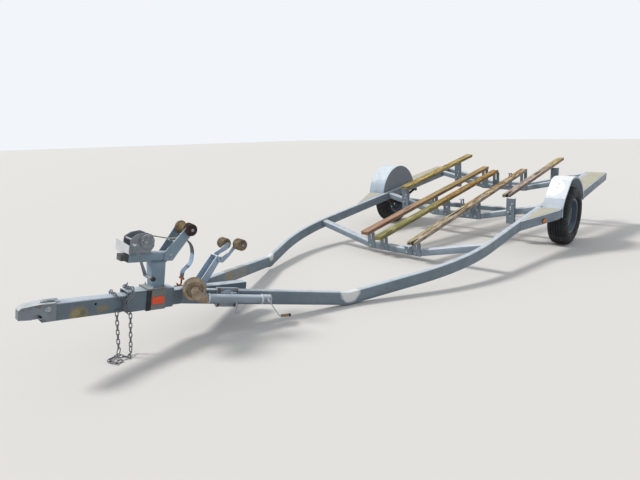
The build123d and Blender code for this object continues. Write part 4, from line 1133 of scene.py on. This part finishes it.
bolts = []
for turn in range(5):
    angle = radians(72 * turn + 20)
    bolts.append(bolt_at(GEAR[0] + 0.0315 * cos(angle), 0.0576, GEAR[1] + 0.0315 * sin(angle),
                         CASE_SCREW))
ends = [(DRUM, 0.0588), (DRIVE, 0.0440)] + [(spot, -0.044) for spot in (DRUM, DRIVE, *SPACERS)]
bolts += [bolt_at(x, y, h, SHAFT_NUT) for (x, h), y in ends]
bolts += [bolt_at(x, y, 0.254, PLATE_BOLT, True) for x in (4.474, 4.590) for y in (-0.026, 0.026)]
bolts += [bolt_at(x, y, SLEEVE_TOP + 0.008, CLAMP_BOLT, True)
          for x in (4.366, 4.446) for y in (-0.050, 0.050)]
bolts += [bolt_at(ROLLER_PIN[0], y, ROLLER_PIN[1], PIN_HEAD) for y in (0.094, -0.058)]
for side in (-1, 1):
    for x, y, h, size in ((4.334, 0.038, 0.214, ARM_BOLT), (4.366, 0.038, 0.214, ARM_BOLT),
                          (4.338, 0.038, 0.236, ARM_BOLT), (5.026, 0.0430, -0.026, COUPLER_BOLT),
                          (3.958, 0.055, 0.190, SHAFT_NUT)):
        bolts.append(bolt_at(x, side * y, h, size))
keep(bolts, "stand_bolts", bracket_zinc, front)

barrel = [placed(disc(-0.0395, 0.0395, 0.016, 0.001, 32), at_xh(DRUM))]
for y in (-0.0285, 0.0245):
    barrel.append(placed(disc(y, y + 0.004, 0.0395, 0.0015, 48), at_xh(DRUM)))
keep(barrel, "winch_barrel", chain_steel, front, ["winch_drum"])

# The wound strap: laps on the barrel, each with an edge of its own at both sides
BARREL_R = 0.0160
LAPS = 9
LAP = 0.00235
LAP_HALF = 0.0212


def lap_edge(lap, side):
    """The lap's edge, from the lower corner to the upper one and into the next lap."""
    inner = BARREL_R + lap * LAP
    uneven = noise.noise(Vector((lap * 3.7, 1.3 if side < 0 else 8.9, 0)))
    edge = LAP_HALF + 0.0010 + 0.0011 * uneven
    return [(side * edge, inner + 0.0003), (side * edge, inner + 0.0020),
            (side * LAP_HALF, inner + LAP)]


layers = [(-0.0225, BARREL_R)]
for lap in range(LAPS):
    layers += lap_edge(lap, -1)
layers.append((LAP_HALF, BARREL_R + LAPS * LAP))
for lap in reversed(range(LAPS)):
    layers += reversed(lap_edge(lap, 1))
layers.append((0.0225, BARREL_R))
keep(placed(turned(layers, 56), at_xh(DRUM)), "wound_strap", rolled_webbing, front)

CRANK_SIDE = ((4.606, 0.312), (4.594, 0.322), (4.578, 0.318), (4.572, 0.268), (4.546, 0.200),
              (4.522, 0.146), (4.524, 0.130), (4.540, 0.130), (4.562, 0.196), (4.586, 0.262))
crank = [slab(CRANK_SIDE, 0.0940, 0.1000, 0.0014, 2),
         placed(disc(0.050, 0.106, 0.0090, 0.001, 20), at_xh(DRIVE)),
         placed(disc(0.080, 0.094, 0.0130, 0.001, 20), at_xh(DRIVE)),
         bolt_at(DRIVE[0], 0.100, DRIVE[1], SHAFT_NUT[:3]),
         placed(disc(0.0920, 0.1030, 0.0090, 0.001, 20), at_xh(GRIP))]
keep(crank, "winch_crank_bar", crank_grey, front, ["winch_crank"])
handle = turned([(0.101, 0.0), (0.101, 0.0085), (0.104, 0.0100), (0.120, 0.0108), (0.140, 0.0098),
                 (0.160, 0.0106), (0.178, 0.0100), (0.184, 0.0086), (0.185, 0.0)], 28, closed=False)
keep(placed(handle, at_xh(GRIP)), "grip_sleeve", grey_plastic, front)
knob = turned([(0.1840, 0.0), (0.1840, 0.0110), (0.1856, 0.0132), (0.1900, 0.0142),
               (0.1985, 0.0142), (0.2025, 0.0130), (0.2040, 0.0100),
               (0.2044, 0.0)], 28, closed=False)
keep(placed(knob, at_xh(GRIP)), "grip_knob", black_plastic, front, ["crank_grip"])


# Jack: along_rail's frame has its length along the rail, its width out from it and its height

JACK_W = 0.066
JACK_H = -0.038
JACK_HUB = (1.164, 0.066, 0.023)

yoke = []
for w in (0.0335, 0.0905):
    yoke.append(slab(((1.080, -0.066), (1.112, -0.064), (1.178, -0.030), (1.190, 0.020),
                      (1.178, 0.046), (1.150, 0.044), (1.112, -0.006),
                      (1.080, -0.012)), w, w + 0.0085, 0.003, 2))
yoke.append(block(1.076, 1.090, 0.034, 0.098, -0.066, -0.012, 0.003, 2))
yoke.append(placed(disc(0.0295, 0.1025, 0.010, 0.0015, 20), at_xh(JACK_HUB[::2])))
keep(yoke, "jack_yoke", tan_plastic, along_rail, body="jack")

wheel = turned([(-0.020, 0.0066), (-0.020, 0.0200), (-0.010, 0.0220), (-0.010, 0.0500),
                (-0.024, 0.0540), (-0.0250, 0.0600), (-0.0250, 0.0690), (-0.0235, 0.0715),
                (-0.0200, 0.0730), (-0.0060, 0.0730), (-0.0040, 0.0715), (0.0040, 0.0715),
                (0.0060, 0.0730), (0.0200, 0.0730), (0.0235, 0.0715), (0.0250, 0.0690),
                (0.0250, 0.0600), (0.0240, 0.0540), (0.0100, 0.0500), (0.0100, 0.0220),
                (0.0200, 0.0200), (0.0200, 0.0066)], 64)
spokes = [wheel]
for turn in range(6):
    for face in (-1, 1):
        sides = sorted((face * 0.0095, face * 0.0190))
        rib = block(-0.0025, 0.0025, *sides, 0.0205, 0.0520, 0.0008, 1)
        spokes.append(placed(rib, Matrix.Rotation(radians(60 * turn), 4, "Y")))
keep(spokes, "jack_wheel_moulded", tan_plastic, along_rail @ Matrix.Translation(JACK_HUB),
     ["jack_wheel"], "jack_wheel")

fittings = [bolt(facing_place((s, 0.008, h), (0, 1, 0), s), 0.008, 0.0065, 0.012, 0.008)
            for s in (0.876, 0.992) for h in (0.004, -0.104)]
keep(fittings, "jack_bracket_bolts", rusty_bolt, along_rail)

clamp = [block(0.862, 1.006, -0.054, 0.000, -0.1150, -0.1100, 0.0015, 1),
         block(0.862, 1.006, -0.054, 0.008, 0.0005, 0.0055, 0.0015, 1),
         block(0.862, 0.866, 0.0, 0.030, -0.114, 0.018, 0.0012, 1),
         block(1.002, 1.006, 0.0, 0.030, -0.114, 0.018, 0.0012, 1)]
keep(clamp, "jack_clamp", jack_zinc, along_rail)


def on_jack(along, quarter_turns):
    """A matrix to a place on the jack's axis, its Y turned along the tube."""
    return (Matrix.Translation((along, JACK_W, JACK_H))
            @ Matrix.Rotation(quarter_turns * pi / 2, 4, "Z"))


COLLAR = [(-0.006, 0.0284), (-0.006, 0.0330), (0.004, 0.0340), (0.006, 0.0325), (0.006, 0.0284)]
END_CAP = [(0.0, 0.0), (0.0, 0.031), (0.004, 0.030), (0.009, 0.024), (0.011, 0.012), (0.0115, 0.0)]
trim = [placed(turned(COLLAR, 48), on_jack(along, -1)) for along in (0.708, 1.066)]
trim.append(placed(turned(END_CAP, 40, closed=False), on_jack(0.650, 1)))
trim.append(tube([(0.872, 0.036, -0.060), (0.872, 0.036, -0.140), (0.868, 0.036, -0.150),
                  (0.858, 0.036, -0.152), (0.850, 0.036, -0.146), (0.850, 0.036, -0.136),
                  (0.858, 0.036, -0.130)], 0.008))
for angle in (35, 125, 215, 305):
    spot = (0.932 + 0.034 * cos(radians(angle)), 0.042, JACK_H + 0.034 * sin(radians(angle)))
    trim.append(bolt(facing_place(spot, (0, 1, 0)), 0.005, 0.004, 0.0065))
keep(trim, "jack_trim", jack_white, along_rail, body="jack")

crank = [placed(disc(0.098, 0.120, 0.0095, 0.001, 20), at_xh((0.668, JACK_H))),
         tube([(0.668, 0.111, JACK_H), (0.661, 0.111, -0.047), (0.586, 0.111, -0.138),
               (0.575, 0.111, -0.143), (0.500, 0.111, -0.136)], 0.0085)]
keep(crank, "jack_crank_bar", jack_white, along_rail, ["jack_crank"], "jack")
grip_lie = (Matrix.Translation((0.572, 0.111, -0.1428)) @ Matrix.Rotation(radians(5.5), 4, "Y")
            @ Matrix.Rotation(pi / 2, 4, "Z"))
for name, profile, material in (
        ("jack_grip", [(0.0, 0.0), (0.0, 0.0080), (0.003, 0.0096), (0.020, 0.0102),
                       (0.055, 0.0098), (0.058, 0.0)], tan_plastic),
        ("jack_grip_end", [(0.058, 0.0), (0.058, 0.0104), (0.060, 0.0116), (0.068, 0.0116),
                           (0.071, 0.0096), (0.0715, 0.0)], black_plastic)):
    grip = placed(turned(profile, 24, closed=False), grip_lie)
    keep(grip, name, material, along_rail, body="jack")


# Safety chains: welded links along each chain's route

LINK_PITCH = 0.0294
LINK_WIRE = 0.0030
LINK_HALF = 0.0080
WELD_SWELL = 1.12
LIE = 0.0105             # of a link's middle above what the chain lies on
BESIDE_TUBE = 0.0505     # y of a chain that hangs against the tongue
BESIDE_SLEEVE = 0.0615


def chain_link():
    """One welded link: a ring of wire spun round both ends, with a swollen weld on one side."""
    tool = bmesh.new()
    straight = LINK_PITCH / 2 + LINK_WIRE - LINK_HALF
    ring = bmesh.ops.create_circle(tool, segments=8, radius=LINK_WIRE)["verts"]
    bmesh.ops.rotate(tool, verts=ring, matrix=Matrix.Rotation(pi / 2, 3, "Y"))
    bmesh.ops.translate(tool, verts=ring, vec=(-straight, LINK_HALF, 0))
    across = Vector((1, 0, 0))
    edges = tool.edges[:]
    mid, edges = slide(tool, edges, across, Vector((0, 0, 0)), across)
    bmesh.ops.scale(tool, verts=mid, vec=(1, WELD_SWELL, WELD_SWELL),
                    space=Matrix.Translation((0, -LINK_HALF, 0)))
    last, edges = slide(tool, edges, across, Vector((straight, 0, 0)), across)
    for vert in last:
        radius = Vector((0, vert.co.y - LINK_HALF, vert.co.z))
        radius.length = LINK_WIRE
        vert.co = Vector((straight, LINK_HALF, 0)) + radius
    bmesh.ops.spin(tool, geom=last + edges, cent=(straight, 0, 0), axis=(0, 0, 1), angle=-pi,
                   steps=6)
    low = [vert for vert in tool.verts if abs(vert.co.x - straight) < 1e-5 and vert.co.y < 0]
    mine = set(low)
    edges = [edge for edge in tool.edges if edge.verts[0] in mine and edge.verts[1] in mine]
    last, edges = slide(tool, edges, -across, Vector((-straight, 0, 0)), across)
    bmesh.ops.spin(tool, geom=last + edges, cent=(-straight, 0, 0), axis=(0, 0, 1), angle=-pi,
                   steps=6)
    bmesh.ops.remove_doubles(tool, verts=tool.verts, dist=2e-5)
    bmesh.ops.recalc_face_normals(tool, faces=tool.faces)
    return tool


# Each chain: its points on the tongue in the front section's frame, then those on the ground
CHAINS = (
    (((4.664, -BESIDE_TUBE - 0.003, -0.070), (4.660, -BESIDE_TUBE - 0.003, -0.004),
      (4.668, -0.034, LIE + 0.005), (4.676, 0.034, LIE + 0.006),
      (4.662, BESIDE_TUBE + 0.004, 0.002), (4.640, BESIDE_TUBE, -0.012),
      (4.620, BESIDE_TUBE, -0.036), (4.618, BESIDE_TUBE, -0.063), (4.634, BESIDE_TUBE, -0.080),
      (4.658, BESIDE_TUBE, -0.088), (4.662, BESIDE_TUBE, -RAIL_H)),
     ((2.826, 0.050, 0.038), (2.838, 0.060, LIE + 0.006), (2.870, 0.056, LIE),
      (2.899, 0.078, LIE), (2.882, 0.133, LIE), (2.838, 0.128, LIE))),
    (((4.560, -BESIDE_SLEEVE - 0.003, -0.060), (4.562, -BESIDE_SLEEVE - 0.003, SLEEVE_TOP - 0.004),
      (4.566, -0.047, SLEEVE_TOP + LIE + 0.008), (4.592, -0.026, SLEEVE_TOP + LIE + 0.003),
      (4.562, 0.000, SLEEVE_TOP + LIE), (4.590, 0.022, SLEEVE_TOP + LIE + 0.006),
      (4.574, 0.048, SLEEVE_TOP + LIE + 0.008), (4.580, BESIDE_SLEEVE + 0.009, SLEEVE_TOP - 0.008),
      (4.596, 0.068, -0.010), (4.614, 0.071, -0.026), (4.624, 0.075, -0.048),
      (4.626, 0.075, -0.072), (4.604, 0.068, -0.094), (4.584, BESIDE_SLEEVE, SLEEVE_LOW - 0.004)),
     ((2.760, 0.066, 0.038), (2.774, 0.088, LIE + 0.006), (2.800, 0.120, LIE),
      (2.826, 0.100, LIE + 0.010), (2.858, 0.088, LIE + 0.016), (2.880, 0.110, LIE + 0.012))),
)
links = []
pattern = chain_link()
for over, heap in CHAINS:
    route = [front @ Vector(point) for point in over]
    route += [Vector(point) for point in heap]
    distance, count = LINK_PITCH / 2, 0
    for a, b in zip(route, route[1:]):
        run = (b - a).length
        direction = (b - a).normalized()
        side = Vector((0, 0, 1)) if abs(direction.z) < 0.8 else Vector((0, 1, 0))
        across = direction.cross(side).normalized()
        normal = across.cross(direction)
        while distance <= run:
            twist = radians(45 if count % 2 else -45)
            up = normal * cos(twist) + across * sin(twist)
            turn = Matrix((direction, up.cross(direction), up)).transposed().to_4x4()
            spot = Matrix.Translation(a + direction * distance)
            links.append(placed(pattern.copy(), spot @ turn))
            count += 1
            distance += LINK_PITCH
        distance -= run
pattern.free()
keep(links, "chain_links", chain_steel, Matrix(), ["safety_chains"], smooth_deg=50)


# Winch strap: its route in millimetres, x and height in the front section's frame

STRAP_W = 0.044
STRAP_T = 0.0025
STRAP_ROUTE = ((4496, 354), (4440, 350), (4390, 340), (4330, 331), (4290, 334), (4245, 334),
               (4205, 318), (4176, 290), (4160, 250), (4158, 205), (4164, 165), (4188, 138),
               (4216, 118), (4221, 94), (4221, 70))


def strap_curve(name, extrude, thickness):
    """A flat band along the strap's route, drawn in x and y."""
    data = bpy.data.curves.new(name, "CURVE")
    data.dimensions = "2D"
    data.resolution_u = 8
    data.extrude = extrude
    data.bevel_depth = thickness
    data.bevel_resolution = 1
    line = data.splines.new("NURBS")
    line.points.add(len(STRAP_ROUTE) - 1)
    for point, (x, h) in zip(line.points, STRAP_ROUTE):
        point.co = (x / 1000, h / 1000, 0, 1)
    line.order_u = 3
    line.use_endpoint_u = True
    return bpy.data.meshes.new_from_object(bpy.data.objects.new(name, data))


upright_plane = front @ Matrix.Rotation(pi / 2, 4, "X")
route_mesh = strap_curve("strap_route", 0.0, 0.0)
route_mesh.transform(upright_plane)
strap_mesh = strap_curve("strap", STRAP_W / 2 - STRAP_T / 2, STRAP_T / 2)
strap_mesh.transform(upright_plane)
strap = keep_mesh(strap_mesh, "strap_webbing", webbing, ["winch_strap"], smooth_deg=40)


# Floor, light and camera

WORLD_LIGHT = 0.62
KEY_LIGHT = 2.3
KEY_FROM = (0.20, -0.29, 0.36)   # towards the sun, high behind the trailer's far side


def stage():
    """A pale floor, a soft white surround that looks bright in gloss, and the sun."""
    data = bpy.data.meshes.new("floor")
    tool = bmesh.new()
    bmesh.ops.create_grid(tool, x_segments=1, y_segments=1, size=60)
    tool.to_mesh(data)
    tool.free()
    floor = bpy.data.objects.new("floor", data)
    bpy.context.scene.collection.objects.link(floor)
    data.materials.append(Finish("floor_paint").done("#dcdad6", 0.9))

    world = bpy.data.worlds.new("studio")
    bpy.context.scene.world = world
    world.use_nodes = True
    tree = world.node_tree
    rays = [add_node(tree, "LightPath", out=f"Is {kind} Ray")
            for kind in ("Camera", "Glossy", "Transmission")]
    seen = add_node(tree, "Math", rays[:2], **GREATER)
    seen = add_node(tree, "Math", (seen, rays[2]), **GREATER)
    strength = add_node(tree, "MapRange", {"Value": seen, "To Min": WORLD_LIGHT, "To Max": 1.0})
    background = tree.nodes["Background"]
    feed(tree, background, "Color", "#f2f5fa")
    feed(tree, background, "Strength", strength)

    lamp_data = bpy.data.lights.new("key", "SUN")
    lamp_data.energy = KEY_LIGHT
    lamp_data.angle = radians(12)
    lamp_data.color = (1.0, 0.97, 0.93)
    lamp = bpy.data.objects.new("key", lamp_data)
    bpy.context.scene.collection.objects.link(lamp)
    lamp.rotation_mode = "QUATERNION"
    lamp.rotation_quaternion = Vector(KEY_FROM).to_track_quat("Z", "Y")


CAMERA_PLACE = Vector((3.86849, 2.68369, 1.27874))
CAMERA_YAW = radians(-136.8744)
CAMERA_DOWN = radians(12.9022)
CAMERA_ROLL = radians(-1.0614)
FOCAL_PIXELS = 466.3
FRAME_PIXELS = 640


def camera():
    """The eye of the photo."""
    data = bpy.data.cameras.new("camera")
    data.sensor_fit = "HORIZONTAL"
    data.sensor_width = 36.0
    data.lens = FOCAL_PIXELS / FRAME_PIXELS * data.sensor_width
    eye = bpy.data.objects.new("camera", data)
    bpy.context.scene.collection.objects.link(eye)
    ahead = Vector((cos(CAMERA_DOWN) * cos(CAMERA_YAW), cos(CAMERA_DOWN) * sin(CAMERA_YAW),
                    -sin(CAMERA_DOWN)))
    level = ahead.cross(Vector((0, 0, 1))).normalized()
    above = level.cross(ahead)
    right = level * cos(CAMERA_ROLL) + above * sin(CAMERA_ROLL)
    up = above * cos(CAMERA_ROLL) - level * sin(CAMERA_ROLL)
    turn = Matrix((right, up, -ahead)).transposed().to_4x4()
    eye.matrix_world = Matrix.Translation(CAMERA_PLACE) @ turn
    bpy.context.scene.camera = eye


stage()
camera()
bpy.context.scene.view_settings.view_transform = "Standard"
